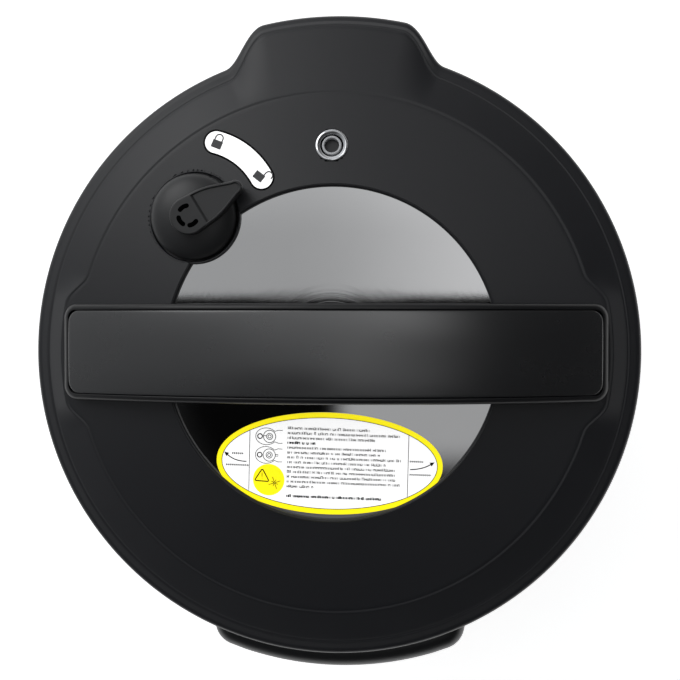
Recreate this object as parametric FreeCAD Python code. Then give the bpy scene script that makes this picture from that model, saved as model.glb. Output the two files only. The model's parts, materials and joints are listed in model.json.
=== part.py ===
"""Electric pressure cooker with a turn-and-lift steel lid, in millimetres.

The origin is on the surface that the cooker stands on, under its middle. +Z is up, -Y is the
front with the control panel, and +Y is the rear with the lid's tab. The lid is closed and
locked, and the steam knob points to its venting mark. Heights are worked out upwards from the
feet, and radii outwards from the inner pot.
"""

import FreeCAD, Part
import math
import os

from FreeCAD import Vector

os.makedirs("parts", exist_ok=True)

# ---------------------------------------------------------------- driving dimensions

POT_R = 110.0              # inner pot: inside radius
POT_WALL = 2.0
POT_DEPTH = 152.0
POT_CORNER = 18.0          # inside corner radius at the bottom
POT_RIM_W = 9.0            # how far the rolled rim reaches past the wall
POT_RIM_T = 2.0

OUTER_POT_GAP = 4.0        # air gap between the inner and the outer pot
OUTER_POT_WALL = 2.0
FLANGE_W = 8.0             # outer pot's flange, past its wall
FLANGE_T = 2.5
TOOTH_W = 7.0              # how far a bayonet tooth of the flange reaches past the flange
TOOTH_COUNT = 6
TOOTH_HALF_ANGLE = 13.0    # degrees

LID_T = 1.8                # steel lid's sheet
LID_TOOTH_T = 3.0
LID_TOOTH_UNDER = 5.0      # how far the lid's teeth reach under the flange's teeth
LID_SKIRT_GAP = 4.2        # flange teeth to the lid's skirt
SEAT_TO_SHELF = 18.2       # lid: flange seat up to the shelf that carries the valves
SHELF_TO_DOME = 12.5       # shelf up to the edge of the polished dome
DOME_RISE = 2.5

OUTER_POT_IN_R = POT_R + POT_WALL + OUTER_POT_GAP
OUTER_POT_R = OUTER_POT_IN_R + OUTER_POT_WALL
FLANGE_R = OUTER_POT_R + FLANGE_W
TOOTH_R = FLANGE_R + TOOTH_W
SKIRT_IN_R = TOOTH_R + LID_SKIRT_GAP
SKIRT_R = SKIRT_IN_R + LID_T
LID_TOOTH_IN_R = TOOTH_R - LID_TOOTH_UNDER
POT_RIM_R = POT_R + POT_WALL + POT_RIM_W
STEP_R = POT_R + 5.0       # lid's step between the seat and the shelf
DOME_R = POT_R - 26.0

SHELL_R = SKIRT_R + 2.0
SHELL_T = 1.0
COLLAR_R = SKIRT_R + 10.0
COLLAR_WALL = 3.0
GRIP_R = COLLAR_R + 5.5
GRIP_HALF_W = 40.0

COVER_R = COLLAR_R + 1.8   # plastic lid cover
COVER_T = 2.5
COVER_OPENING_R = DOME_R - 2.8
COVER_EDGE_H = 4.5         # upright edge below the rim's rounding
COVER_CREASE_R = COVER_R - 23.8
COVER_SHOULDER_R = COVER_R - 7.3
COVER_OPENING_RISE = 27.5  # opening's edge above the cover's underside
COVER_CREASE_RISE = 20.5
COVER_SHOULDER_RISE = 14.0
TAB_R = COVER_R + 15.7     # rear tab's outer edge
TAB_ROOT_ANGLE = 21.0      # half angle at the round edge, degrees from the rear
TAB_CORNER_ANGLE = 11.5    # half angle of the tab's full reach
TAB_DROP = 2.5             # tab's lip below the cover's shoulder

HANDLE_HALF_L = COVER_R - 17.8
HANDLE_W = 45.0
HANDLE_FOOT_L = 33.0
HANDLE_TOP_RISE = 30.4     # handle's crest above the cover's opening, with its cap
HANDLE_T = 14.4
HANDLE_END_DROP = 32.0     # from the crest down to the ends
HANDLE_CORNER = 5.0
CAP_INSET = 3.2
CAP_T = 2.6
CAP_PROUD = 0.6

KNOB_X, KNOB_Y = 42.8 - POT_R, POT_R - 43.8   # steam knob's axis
KNOB_R = 21.7
KNOB_HUB_R = 8.4
KNOB_H = 17.0
KNOB_BOSS_R = 27.0
KNOB_WELL_R = 24.0
LEVER_LENGTH = 28.5
LEVER_ANGLE = 29.0         # degrees, anticlockwise from +X, at the venting mark
LEVER_ROOT_W = 18.5
LEVER_TIP_W = 5.4
LEVER_T = 8.0
VALVE_LIFT = 1.6

FLOAT_Y = POT_R - 9.5      # float valve's axis is on the centre line
FLOAT_COLLAR_R = 7.9
FLOAT_RING_R = 4.8
FLOAT_STROKE = 3.0

FASCIA_R = SHELL_R + 25.5  # control panel's curved face
FASCIA_HALF_W = 64.0
FASCIA_ROOT_HALF_W = 70.0
FASCIA_TOP_DROP = 15.5     # panel's top below the lid cover
FASCIA_T = 2.5
FASCIA_CORNER = 14.0
WINDOW_W, WINDOW_H = 60.0, 40.0
BUTTON_W, BUTTON_H = 22.0, 12.0
BUTTON_PITCH_X, BUTTON_PITCH_Z = 34.0, 26.0
BUTTON_TRAVEL = 0.6
BUTTON_NAMES = [["button_menu", "button_timer", "button_keep_warm"],
                ["button_minus", "button_start", "button_plus"]]

FOOT_H = 6.0
FOOT_R = 13.0
FOOT_CIRCLE_R = POT_R
PAN_T = 3.0
PAN_LIP_R = SHELL_R + 2.0
PAN_LIP_H = 10.0
PAN_WALL_H = 28.0
BASE_SPACE = 41.0          # room for the electronics, pan floor to outer pot
STANDOFF_H = 6.0
PLATE_R = POT_R - 10.0
PLATE_T = 8.0
ELEMENT_CIRCLE_R = POT_R - 40.0
ELEMENT_R = 3.5
SENSOR_R = 14.5

CUP_W, CUP_H = 62.0, 60.0
CUP_WALL = 1.8
REAR_HALF_W = 42.0
REAR_R = SHELL_R + 19.0
INLET_W, INLET_H, INLET_Z = 50.0, 30.0, 48.0
PIN_SPACING = 7.0

RING_H = 6.0               # sealing ring's height as pressed
STICKER_T = 0.25

# ---------------------------------------------------------------- named clearances

REST_GAP = 0.5             # between parts that nearly rest on each other
LOCK_GAP = 1.0             # bayonet teeth, above each other
GROOVE_GAP = 2.0           # lid skirt above the collar's groove
COLLAR_TO_COVER = 1.5
TURN_GAP = 0.3             # turning fits of plastic parts
SLIDE_GAP = 0.4            # sliding fits of plastic parts
COVER_OVER_STEEL = 0.9     # cover's lip above the polished dome
SHELL_SLOT_GAP = 0.3

# ---------------------------------------------------------------- heights, from the feet up

Z_PAN = FOOT_H
Z_PAN_FLOOR = Z_PAN + PAN_T
Z_OUTER_POT = Z_PAN_FLOOR + BASE_SPACE
Z_PLATE = Z_OUTER_POT + OUTER_POT_WALL + STANDOFF_H
Z_POT = Z_PLATE + PLATE_T
Z_RIM_TOP = Z_POT + POT_WALL + POT_DEPTH
Z_FLANGE_TOP = Z_RIM_TOP - POT_RIM_T - REST_GAP
Z_FLANGE = Z_FLANGE_TOP - FLANGE_T
Z_LID_TOOTH_TOP = Z_FLANGE - LOCK_GAP
Z_SKIRT = Z_LID_TOOTH_TOP - LID_TOOTH_T
Z_GROOVE = Z_SKIRT - GROOVE_GAP
Z_SEAT = Z_RIM_TOP + RING_H
Z_SEAT_TOP = Z_SEAT + LID_T
Z_SHELF_TOP = Z_SEAT_TOP + SEAT_TO_SHELF
Z_SHELF = Z_SHELF_TOP - LID_T
Z_DOME_EDGE = Z_SHELF_TOP + SHELF_TO_DOME
Z_CROWN = Z_DOME_EDGE + DOME_RISE
Z_COVER = Z_SEAT_TOP + 9.7
Z_COLLAR_TOP = Z_COVER - COLLAR_TO_COVER
Z_COLLAR_WEB = Z_GROOVE - COLLAR_WALL
Z_COLLAR = Z_COLLAR_WEB - 8.0
Z_SHELL = Z_PAN + PAN_LIP_H
Z_OPENING = Z_COVER + COVER_OPENING_RISE
Z_CREASE = Z_COVER + COVER_CREASE_RISE
Z_SHOULDER = Z_COVER + COVER_SHOULDER_RISE
Z_HANDLE_TOP = Z_OPENING + HANDLE_TOP_RISE
Z_KNOB_FLOOR = Z_CROWN + 0.3
Z_FASCIA_TOP = Z_COVER - FASCIA_TOP_DROP
WINDOW_Z = Z_FASCIA_TOP - 54.0
BUTTON_TOP_Z = WINDOW_Z - 42.0
CUP_BASE_Z = Z_COLLAR - 69.0


# ---------------------------------------------------------------- helpers

def disc(radius, z0, z1, x=0.0, y=0.0):
    """Upright cylinder between two heights."""
    return Part.makeCylinder(radius, z1 - z0, Vector(x, y, z0))


def ring(outer, inner, z0, z1, x=0.0, y=0.0):
    """Upright tube between two heights."""
    return disc(outer, z0, z1, x, y).cut(disc(inner, z0 - 1, z1 + 1, x, y))


def block(x0, x1, y0, y1, z0, z1):
    """Box between two corners."""
    return Part.makeBox(x1 - x0, y1 - y0, z1 - z0, Vector(x0, y0, z0))


def outline(points):
    """Closed wire of lines and arcs. A point is (u, v); an arc's end is (mid u, mid v, u, v)."""
    edges = []
    last = points[0]
    for point in points[1:] + [points[0]]:
        end = point[-2:]
        start3 = Vector(last[0], last[1], 0)
        end3 = Vector(end[0], end[1], 0)
        if len(point) == 4:
            edges.append(Part.Arc(start3, Vector(point[0], point[1], 0), end3).toShape())
        elif (start3 - end3).Length > 1e-6:
            edges.append(Part.LineSegment(start3, end3).toShape())
        last = end
    return Part.Wire(edges)


def turned(points):
    """Solid of revolution about Z from an outline of (radius, height) points."""
    wire = outline(points)
    wire.rotate(Vector(0, 0, 0), Vector(1, 0, 0), 90)
    return Part.Face(wire).revolve(Vector(0, 0, 0), Vector(0, 0, 1), 360)


def prism(points, z0, z1):
    """Upright prism over a plan outline."""
    face = Part.Face(outline(points))
    face.translate(Vector(0, 0, z0))
    return face.extrude(Vector(0, 0, z1 - z0))


def moved(shape, x=0.0, y=0.0, z=0.0):
    """Copy of a shape, shifted."""
    copy = shape.copy()
    copy.translate(Vector(x, y, z))
    return copy


def spun(shape, degrees, x=0.0, y=0.0):
    """Copy of a shape, turned about an upright axis."""
    copy = shape.copy()
    copy.rotate(Vector(x, y, 0), Vector(0, 0, 1), degrees)
    return copy


def around(shape, count, start=0.0, x=0.0, y=0.0):
    """Copies of a shape spread evenly about an upright axis."""
    return [spun(shape, start + i * 360.0 / count, x, y) for i in range(count)]


def sector(radius, z0, z1, centre, half):
    """Wedge of a disc, about a centre angle in degrees."""
    wedge = Part.makeCylinder(radius, z1 - z0, Vector(0, 0, z0), Vector(0, 0, 1), 2 * half)
    return spun(wedge, centre - half)


def group(solids):
    """Compound of separate solids."""
    return Part.makeCompound(solids)


def fuse_all(solids):
    """One solid from several that touch or overlap."""
    whole = solids[0]
    for solid in solids[1:]:
        whole = whole.fuse(solid)
    return whole.removeSplitter()


def upright_edges(shape, test):
    """Edges parallel to Z whose middle passes a test."""
    found = []
    for edge in shape.Edges:
        ends = [v.Point for v in edge.Vertexes]
        if len(ends) != 2:
            continue
        shift = ends[1] - ends[0]
        if math.hypot(shift.x, shift.y) < 1e-6 and test(edge.CenterOfMass):
            found.append(edge)
    return found


def level_edges(shape, height):
    """Edges that lie at one height."""
    box_test = lambda b: abs(b.ZMin - height) < 1e-4 and abs(b.ZMax - height) < 1e-4
    return [edge for edge in shape.Edges if box_test(edge.BoundBox)]


def lead(name, points, diameter):
    """Insulated wire along straight runs joined by tangent arcs, with its radii printed."""
    stops = [Vector(*p) for p in points]
    edges = []
    radii = []
    last = stops[0]
    for i in range(1, len(stops) - 1):
        before = stops[i - 1] - stops[i]
        after = stops[i + 1] - stops[i]
        half_turn = (math.pi - before.getAngle(after)) / 2.0
        trim = 0.45 * min(before.Length, after.Length)
        radius = trim / math.tan(half_turn)
        start = stops[i] + before.normalize() * trim
        end = stops[i] + after.normalize() * trim
        inward = (before + after).normalize()
        mid = stops[i] + inward * (radius / math.cos(half_turn) - radius)
        edges.append(Part.LineSegment(last, start).toShape())
        edges.append(Part.Arc(start, mid, end).toShape())
        radii.append(round(radius, 1))
        last = end
    edges.append(Part.LineSegment(last, stops[-1]).toShape())
    path = Part.Wire(edges)
    first = (stops[1] - stops[0]).normalize()
    circle = Part.Wire(Part.makeCircle(diameter / 2.0, stops[0], first))
    tube = path.makePipeShell([circle], True, True)
    expected = math.pi * diameter ** 2 / 4.0 * path.Length
    print(f"{name}: radii {radii} mm, length {path.Length:.1f} mm, volume / expected "
          f"{tube.Volume / expected:.4f}")
    return tube


def save(name, shape):
    """Check a node and write its STEP file."""
    solids = shape.Solids
    if not solids or not shape.isValid() or min(s.Volume for s in solids) <= 0:
        raise ValueError(f"{name} is not made of valid solids")
    shape.exportStep(f"parts/{name}.step")
    print(f"{name}: {len(solids)} solid(s), {sum(s.Volume for s in solids) / 1000.0:.1f} cm3")


# ---------------------------------------------------------------- pots

def make_inner_pot():
    """Deep-drawn pot with a rounded bottom corner and a flat rolled rim."""
    out_r = POT_R + POT_WALL
    out_corner = POT_CORNER + POT_WALL
    bend = math.sqrt(0.5)
    z_in = Z_POT + POT_WALL
    return turned([
        (0, Z_POT), (out_r - out_corner, Z_POT),
        (out_r - out_corner * (1 - bend), Z_POT + out_corner * (1 - bend),
         out_r, Z_POT + out_corner),
        (out_r, Z_RIM_TOP - POT_RIM_T), (POT_RIM_R, Z_RIM_TOP - POT_RIM_T),
        (POT_RIM_R, Z_RIM_TOP), (POT_R, Z_RIM_TOP), (POT_R, z_in + POT_CORNER),
        (POT_R - POT_CORNER * (1 - bend), z_in + POT_CORNER * (1 - bend),
         POT_R - POT_CORNER, z_in),
        (0, z_in)])


def sensor_hole_r():
    """Clear hole round the temperature sensor."""
    return SENSOR_R + 1.5


def make_outer_pot():
    """Pressure shell that the inner pot hangs in, with bayonet teeth round its flange."""
    body = turned([
        (sensor_hole_r() + 1, Z_OUTER_POT), (OUTER_POT_R, Z_OUTER_POT), (OUTER_POT_R, Z_FLANGE),
        (FLANGE_R, Z_FLANGE), (FLANGE_R, Z_FLANGE_TOP), (OUTER_POT_IN_R, Z_FLANGE_TOP),
        (OUTER_POT_IN_R, Z_OUTER_POT + OUTER_POT_WALL),
        (sensor_hole_r() + 1, Z_OUTER_POT + OUTER_POT_WALL)])
    tooth = sector(TOOTH_R, Z_FLANGE, Z_FLANGE_TOP, 0, TOOTH_HALF_ANGLE)
    tooth = tooth.cut(disc(FLANGE_R - 1, Z_FLANGE - 1, Z_FLANGE_TOP + 1))
    pot = fuse_all([body] + around(tooth, TOOTH_COUNT, 30))
    for x in (-ELEMENT_END_X, ELEMENT_END_X):
        pot = pot.cut(disc(ELEMENT_R + 1.5, Z_OUTER_POT - 1, Z_OUTER_POT + OUTER_POT_WALL + 1,
                           x, -ELEMENT_END_Y))
    return pot


def make_heat_shield():
    """Thin sheet that keeps the outer pot's heat from the shell."""
    radius = SHELL_R - 12.0
    return ring(radius, radius - 0.8, INLET_Z + INLET_H / 2.0 + 2, Z_COLLAR_WEB)


# ---------------------------------------------------------------- heater and sensor

ELEMENT_END_HALF = 10.0    # degrees of gap, each side of the element's open ends
ELEMENT_END_X = ELEMENT_CIRCLE_R * math.sin(math.radians(ELEMENT_END_HALF))
ELEMENT_END_Y = ELEMENT_CIRCLE_R * math.cos(math.radians(ELEMENT_END_HALF))


def element_ring(radius):
    """Open torus in the plate's underside, with its gap at the front."""
    torus = Part.makeTorus(ELEMENT_CIRCLE_R, radius, Vector(0, 0, Z_PLATE), Vector(0, 0, 1),
                           -180, 180, 360 - 2 * ELEMENT_END_HALF)
    return spun(torus, -90 + ELEMENT_END_HALF)


def make_heating_plate():
    """Cast plate under the pot, hollowed for the element and the sensor."""
    plate = turned([(sensor_hole_r(), Z_PLATE), (PLATE_R, Z_PLATE), (PLATE_R, Z_POT - 2),
                    (PLATE_R - 2, Z_POT), (sensor_hole_r(), Z_POT)])
    plate = plate.cut(element_ring(ELEMENT_R))
    for x in (-ELEMENT_END_X, ELEMENT_END_X):
        plate = plate.cut(Part.makeSphere(ELEMENT_R, Vector(x, -ELEMENT_END_Y, Z_PLATE)))
    return plate


def make_heating_element():
    """Sheathed element with two terminals that go down through the outer pot."""
    parts = [element_ring(ELEMENT_R)]
    for x in (-ELEMENT_END_X, ELEMENT_END_X):
        parts.append(Part.makeSphere(ELEMENT_R, Vector(x, -ELEMENT_END_Y, Z_PLATE)))
        parts.append(disc(ELEMENT_R - 0.5, Z_OUTER_POT - 6, Z_PLATE, x, -ELEMENT_END_Y))
    return fuse_all(parts)


def make_plate_standoffs():
    """Three ceramic standoffs between the outer pot and the plate."""
    one = ring(5, 2, Z_OUTER_POT + OUTER_POT_WALL, Z_PLATE, POT_R - 22.0)
    return group(around(one, 3, 90))


BRACKET_R = SENSOR_R + 3.5
BRACKET_FLOOR_Z = Z_OUTER_POT - 12.0
SENSOR_STEM_R = 6.0
SENSOR_CAP_T = 6.0


def make_sensor_bracket():
    """Cup under the outer pot that guides the sensor's stem."""
    return turned([
        (SENSOR_STEM_R + SLIDE_GAP, BRACKET_FLOOR_Z - 2), (BRACKET_R, BRACKET_FLOOR_Z - 2),
        (BRACKET_R, Z_OUTER_POT - 2), (BRACKET_R + 8, Z_OUTER_POT - 2), (BRACKET_R + 8, Z_OUTER_POT),
        (BRACKET_R - 1.5, Z_OUTER_POT), (BRACKET_R - 1.5, BRACKET_FLOOR_Z),
        (SENSOR_STEM_R + SLIDE_GAP, BRACKET_FLOOR_Z)])


def make_temperature_sensor():
    """Spring-loaded sensor whose cap touches the pot's bottom."""
    stem_end = BRACKET_FLOOR_Z - 8
    return turned([
        (0, stem_end), (SENSOR_STEM_R + 2, stem_end), (SENSOR_STEM_R + 2, stem_end + 2),
        (SENSOR_STEM_R, stem_end + 2), (SENSOR_STEM_R, Z_POT - SENSOR_CAP_T),
        (SENSOR_R, Z_POT - SENSOR_CAP_T), (SENSOR_R, Z_POT - 1), (SENSOR_R - 1, Z_POT), (0, Z_POT)])


SPRING_TURNS = 5
SPRING_WIRE = 1.2
SPRING_STEPS = 9           # straight runs in one turn of the spring


def make_sensor_spring():
    """Compression spring between the bracket's floor and the sensor's cap."""
    base = BRACKET_FLOOR_Z + SPRING_WIRE / 2.0 + 0.3
    height = Z_POT - SENSOR_CAP_T - base - SPRING_WIRE / 2.0 - 0.3
    coil_r = SENSOR_STEM_R + 3.5
    count = SPRING_TURNS * SPRING_STEPS
    route = []
    for i in range(count + 1):
        turn = 2.0 * math.pi * i / SPRING_STEPS
        route.append((coil_r * math.cos(turn), coil_r * math.sin(turn), base + height * i / count))
    return lead("sensor spring", route, SPRING_WIRE)


# ---------------------------------------------------------------- base

def foot_places():
    """Centres of the four feet."""
    return [(FOOT_CIRCLE_R * math.cos(math.radians(a)), FOOT_CIRCLE_R * math.sin(math.radians(a)))
            for a in (45, 135, 225, 315)]


FOOT_STEM_R = 4.0
PILLAR_CIRCLE_R = POT_R - 18.0
PILLAR_R = 6.0
SCREW_R = 2.0
SCREW_HEAD_R = 4.0
SCREW_HEAD_T = 2.5


def pillar_places():
    """Centres of the four pillars that carry the outer pot."""
    return [(PILLAR_CIRCLE_R * math.cos(math.radians(a)), PILLAR_CIRCLE_R * math.sin(math.radians(a)))
            for a in (20, 160, 200, 340)]


def make_base_pan():
    """Moulded tray with an outer lip, an inner wall and vent slots."""
    wall_r = SHELL_R - SHELL_T - SHELL_SLOT_GAP
    pan = turned([
        (0, Z_PAN), (PAN_LIP_R - 2, Z_PAN), (PAN_LIP_R, Z_PAN + 2), (PAN_LIP_R, Z_SHELL),
        (wall_r, Z_SHELL), (wall_r, Z_PAN + PAN_WALL_H), (wall_r - PAN_T, Z_PAN + PAN_WALL_H),
        (wall_r - PAN_T, Z_PAN_FLOOR), (0, Z_PAN_FLOOR)])
    for x, y in foot_places():
        pan = pan.cut(disc(FOOT_STEM_R, Z_PAN - 1, Z_PAN_FLOOR + 1, x, y))
    for x, y in pillar_places():
        pan = pan.cut(disc(SCREW_R, Z_PAN - 1, Z_PAN_FLOOR + 1, x, y))
        pan = pan.cut(disc(SCREW_HEAD_R + 0.3, Z_PAN - 1, Z_PAN + 1, x, y))
    for row in range(7):
        y = -30.0 + row * 10.0
        pan = pan.cut(block(-42, -8, y, y + 4, Z_PAN - 1, Z_PAN_FLOOR + 1))
        pan = pan.cut(block(8, 42, y, y + 4, Z_PAN - 1, Z_PAN_FLOOR + 1))
    return pan.cut(inlet_block(0))


def make_rubber_feet():
    """Four push-in feet, each with a barbed stem above the pan's floor."""
    foot = turned([
        (0, 0), (FOOT_R - 1.5, 0), (FOOT_R, 1.5), (FOOT_R, FOOT_H), (FOOT_STEM_R, FOOT_H),
        (FOOT_STEM_R, Z_PAN_FLOOR), (FOOT_STEM_R + 1.5, Z_PAN_FLOOR),
        (FOOT_STEM_R, Z_PAN_FLOOR + 3), (0, Z_PAN_FLOOR + 3)])
    return group([moved(foot, x, y) for x, y in foot_places()])


def make_pot_pillars():
    """Four pillars between the pan and the outer pot."""
    return group([ring(PILLAR_R, SCREW_R, Z_PAN_FLOOR, Z_OUTER_POT, x, y)
                  for x, y in pillar_places()])


def make_base_screws():
    """Four screws from under the pan into the pillars."""
    screw = fuse_all([disc(SCREW_HEAD_R, Z_PAN + 0.4, Z_PAN + 1), disc(SCREW_R, Z_PAN + 0.4, Z_PAN + 26)])
    return group([moved(screw, x, y) for x, y in pillar_places()])


def inlet_block(grow):
    """Envelope of the power inlet's housing, grown by a margin."""
    half = INLET_W / 2.0 + grow
    y0 = SHELL_R - 14.0
    return block(-half, half, y0 - grow, SHELL_R + 3.0, INLET_Z - INLET_H / 2.0 - grow,
                 INLET_Z + INLET_H / 2.0 + grow)


INLET_RECESS_W, INLET_RECESS_H, INLET_RECESS_D = 24.4, 16.8, 13.0


def make_power_inlet():
    """Three-pin appliance inlet with a recessed mouth that faces the rear."""
    body = inlet_block(0)
    mouth = block(-INLET_RECESS_W / 2.0, INLET_RECESS_W / 2.0, SHELL_R + 3 - INLET_RECESS_D,
                  SHELL_R + 4, INLET_Z - INLET_RECESS_H / 2.0, INLET_Z + INLET_RECESS_H / 2.0)
    return body.cut(mouth)


def pin_places():
    """Line, neutral and earth pins: x and z."""
    return [(-PIN_SPACING, INLET_Z - 2.0), (PIN_SPACING, INLET_Z - 2.0), (0.0, INLET_Z + 2.0)]


def make_inlet_pins():
    """Flat pins that stand in the inlet's mouth."""
    floor_y = SHELL_R + 3 - INLET_RECESS_D
    return group([block(x - 1, x + 1, floor_y, floor_y + 9, z - 2, z + 2) for x, z in pin_places()])


def make_outer_shell():
    """Brushed sheet-metal wall, open at the front behind the control panel."""
    shell = ring(SHELL_R, SHELL_R - SHELL_T, Z_SHELL, Z_COLLAR_WEB)
    shell = shell.cut(block(-46, 46, -SHELL_R - 5, 41 - SHELL_R, 38, Z_COLLAR - 4))
    return shell.cut(inlet_block(0))


def make_upper_collar():
    """Moulded ring round the outer pot's mouth, with the groove that the lid's skirt turns in."""
    pot_gap_r = OUTER_POT_R + 1.5
    slot_in = SHELL_R - SHELL_T - 0.5
    slot_out = SHELL_R + 0.2
    collar = turned([
        (pot_gap_r, Z_COLLAR_WEB), (slot_in - 2.5, Z_COLLAR_WEB), (slot_in - 2.5, Z_COLLAR_WEB - 6),
        (slot_in, Z_COLLAR_WEB - 6), (slot_in, Z_COLLAR_WEB), (slot_out, Z_COLLAR_WEB),
        (slot_out, Z_COLLAR), (COLLAR_R - 1.5, Z_COLLAR), (COLLAR_R, Z_COLLAR + 1.5),
        (COLLAR_R, Z_COLLAR_TOP - 1.5), (COLLAR_R - 1.5, Z_COLLAR_TOP),
        (COLLAR_R - COLLAR_WALL, Z_COLLAR_TOP), (COLLAR_R - COLLAR_WALL, Z_GROOVE),
        (FLANGE_R - 2, Z_GROOVE), (FLANGE_R - 2, Z_FLANGE), (pot_gap_r, Z_FLANGE)])
    drain = block(-4, 4, COLLAR_R - COLLAR_WALL - 1, COLLAR_R + 1, Z_GROOVE, Z_GROOVE + 5)
    return collar.cut(drain)


def make_grip(side):
    """Carrying grip on one side of the collar, hollow underneath for the fingers."""
    z0 = Z_COLLAR + 2
    z1 = z0 + 16
    band = ring(GRIP_R, COLLAR_R, z0, z1)
    window = block(POT_R, GRIP_R + 1, -GRIP_HALF_W, GRIP_HALF_W, z0 - 1, z1 + 1)
    grip = band.common(window)
    hollow = ring(GRIP_R - 1.8, COLLAR_R + 0.5, z0 - 1, z1 - 4)
    hollow = hollow.common(block(POT_R, GRIP_R + 1, 4 - GRIP_HALF_W, GRIP_HALF_W - 4, z0 - 1, z1))
    grip = grip.cut(hollow)
    grip = grip.makeFillet(2.0, upright_edges(grip, lambda c: math.hypot(c.x, c.y) > GRIP_R - 0.5))
    return grip if side > 0 else spun(grip, 180)


# ---------------------------------------------------------------- control panel

def fascia_block(inset, z0, z1):
    """Curved-front block of the control panel, drawn in by an inset."""
    root = FASCIA_ROOT_HALF_W - inset
    front = FASCIA_HALF_W - inset
    near, far = 23 - SHELL_R, -FASCIA_R - 11.5
    wedge = prism([(-root, near), (root, near), (front, far), (-front, far)], z0, z1)
    body = disc(FASCIA_R - inset, z0, z1).common(wedge)
    corner = upright_edges(body, lambda c: c.y < 1 - SHELL_R)
    return body.makeFillet(FASCIA_CORNER - inset, corner)


def curved_panel(outer, inner, width, height, x, z):
    """Piece of a curved wall about the cooker's axis, cut to a rectangle seen from the front."""
    z0 = z - height / 2.0
    wall = ring(outer, inner, z0, z0 + height)
    return wall.common(block(x - width / 2.0, x + width / 2.0, -outer - 5, 21 - SHELL_R, z0, z0 + height))


def button_places():
    """Name, x and z of each button."""
    places = []
    for row, names in enumerate(BUTTON_NAMES):
        for column, name in enumerate(names):
            x = (column - 1) * BUTTON_PITCH_X
            places.append((name, x, BUTTON_TOP_Z - row * BUTTON_PITCH_Z))
    return places


Z_FASCIA = Z_PAN + 4.0
FASCIA_TOP_ROUND = 9.0
BOARD_Y = 16.5 - FASCIA_R
BOARD_T = 1.6
BOARD_HALF_W = 48.0
SWITCH_T = 4.0


def make_front_fascia():
    """Hollow control panel that hugs the shell and the collar."""
    outer = fascia_block(0, Z_FASCIA, Z_FASCIA_TOP)
    outer = outer.makeFillet(FASCIA_TOP_ROUND, [
        e for e in level_edges(outer, Z_FASCIA_TOP) if e.CenterOfMass.y < 16 - SHELL_R])
    inner = fascia_block(FASCIA_T, Z_FASCIA + FASCIA_T, Z_FASCIA_TOP - FASCIA_T)
    body = outer.cut(inner)
    body = body.cut(disc(SHELL_R, 0, Z_COLLAR))
    body = body.cut(disc(COLLAR_R, Z_COLLAR, 400))
    body = body.cut(disc(PAN_LIP_R, 0, Z_SHELL))
    lens_depth = FASCIA_R - 1.8
    body = body.cut(curved_panel(FASCIA_R + 1, lens_depth, WINDOW_W, WINDOW_H, 0, WINDOW_Z))
    body = body.cut(curved_panel(FASCIA_R + 1, -BOARD_Y, WINDOW_W - 6, WINDOW_H - 6, 0, WINDOW_Z))
    for _, x, z in button_places():
        body = body.cut(curved_panel(FASCIA_R + 1, -BOARD_Y, BUTTON_W + 2 * SLIDE_GAP,
                                     BUTTON_H + 2 * SLIDE_GAP, x, z))
    return body


def make_display_window():
    """Tinted lens in the panel's rebate."""
    return curved_panel(FASCIA_R - 0.2, FASCIA_R - 1.8, WINDOW_W, WINDOW_H, 0, WINDOW_Z)


def make_display_module():
    """Display block between the board and the lens."""
    half = WINDOW_W / 2.0 - 5
    return block(-half, half, BOARD_Y - 8, BOARD_Y, WINDOW_Z - WINDOW_H / 2.0 + 5,
                 WINDOW_Z + WINDOW_H / 2.0 - 5)


def make_control_board():
    """Circuit board behind the buttons and the display."""
    z0 = BUTTON_TOP_Z - BUTTON_PITCH_Z - 16
    return block(-BOARD_HALF_W, BOARD_HALF_W, BOARD_Y, BOARD_Y + BOARD_T, z0, Z_COLLAR - 4)


def make_key_switches():
    """Six push switches on the control board."""
    return group([block(x - 3, x + 3, BOARD_Y - SWITCH_T, BOARD_Y, z - 3, z + 3)
                  for _, x, z in button_places()])


def make_button(x, z):
    """Button with a flange behind the panel and a stem that meets its switch."""
    back_r = FASCIA_R - 4.5
    cap = curved_panel(FASCIA_R - 0.3, back_r, BUTTON_W, BUTTON_H, x, z)
    flange = curved_panel(FASCIA_R - FASCIA_T - 0.9, back_r, BUTTON_W + 4, BUTTON_H + 4, x, z)
    stem_y = -math.sqrt(back_r ** 2 - (abs(x) + 2) ** 2) - 0.5
    stem = block(x - 2, x + 2, stem_y, BOARD_Y - SWITCH_T - BUTTON_TRAVEL, z - 2, z + 2)
    return fuse_all([cap, flange, stem])


# ---------------------------------------------------------------- electronics and wiring

POWER_BOARD_Z = Z_PAN_FLOOR + 9.0
TERMINAL_FRONT_Y, TERMINAL_REAR_Y = 10.0, 88.0
LEAD_Z = POWER_BOARD_Z + BOARD_T + 5.4


def make_power_board():
    """Power board on four moulded posts."""
    board = block(-50, 50, TERMINAL_FRONT_Y, TERMINAL_REAR_Y, POWER_BOARD_Z, POWER_BOARD_Z + BOARD_T)
    posts = [disc(3, Z_PAN_FLOOR, POWER_BOARD_Z, x, y) for x in (-45, 45) for y in (15, 83)]
    return fuse_all([board] + posts)


def make_power_board_parts():
    """Terminal blocks, relay, transformer and capacitor."""
    z0 = POWER_BOARD_Z + BOARD_T
    return group([
        block(-16, 16, TERMINAL_REAR_Y - 10, TERMINAL_REAR_Y, z0, z0 + 11),
        block(-36, 36, TERMINAL_FRONT_Y, TERMINAL_FRONT_Y + 9, z0, z0 + 11),
        block(-42, -22, 36, 64, z0, z0 + 16),
        block(-8, 22, 30, 58, z0, z0 + 20),
        disc(7, z0, z0 + 20, 36, 44)])


def make_thermal_fuse():
    """Fuse in a clamp on the outer pot's underside."""
    return block(-58, -38, -48, -40, Z_OUTER_POT - 6, Z_OUTER_POT)


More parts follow.
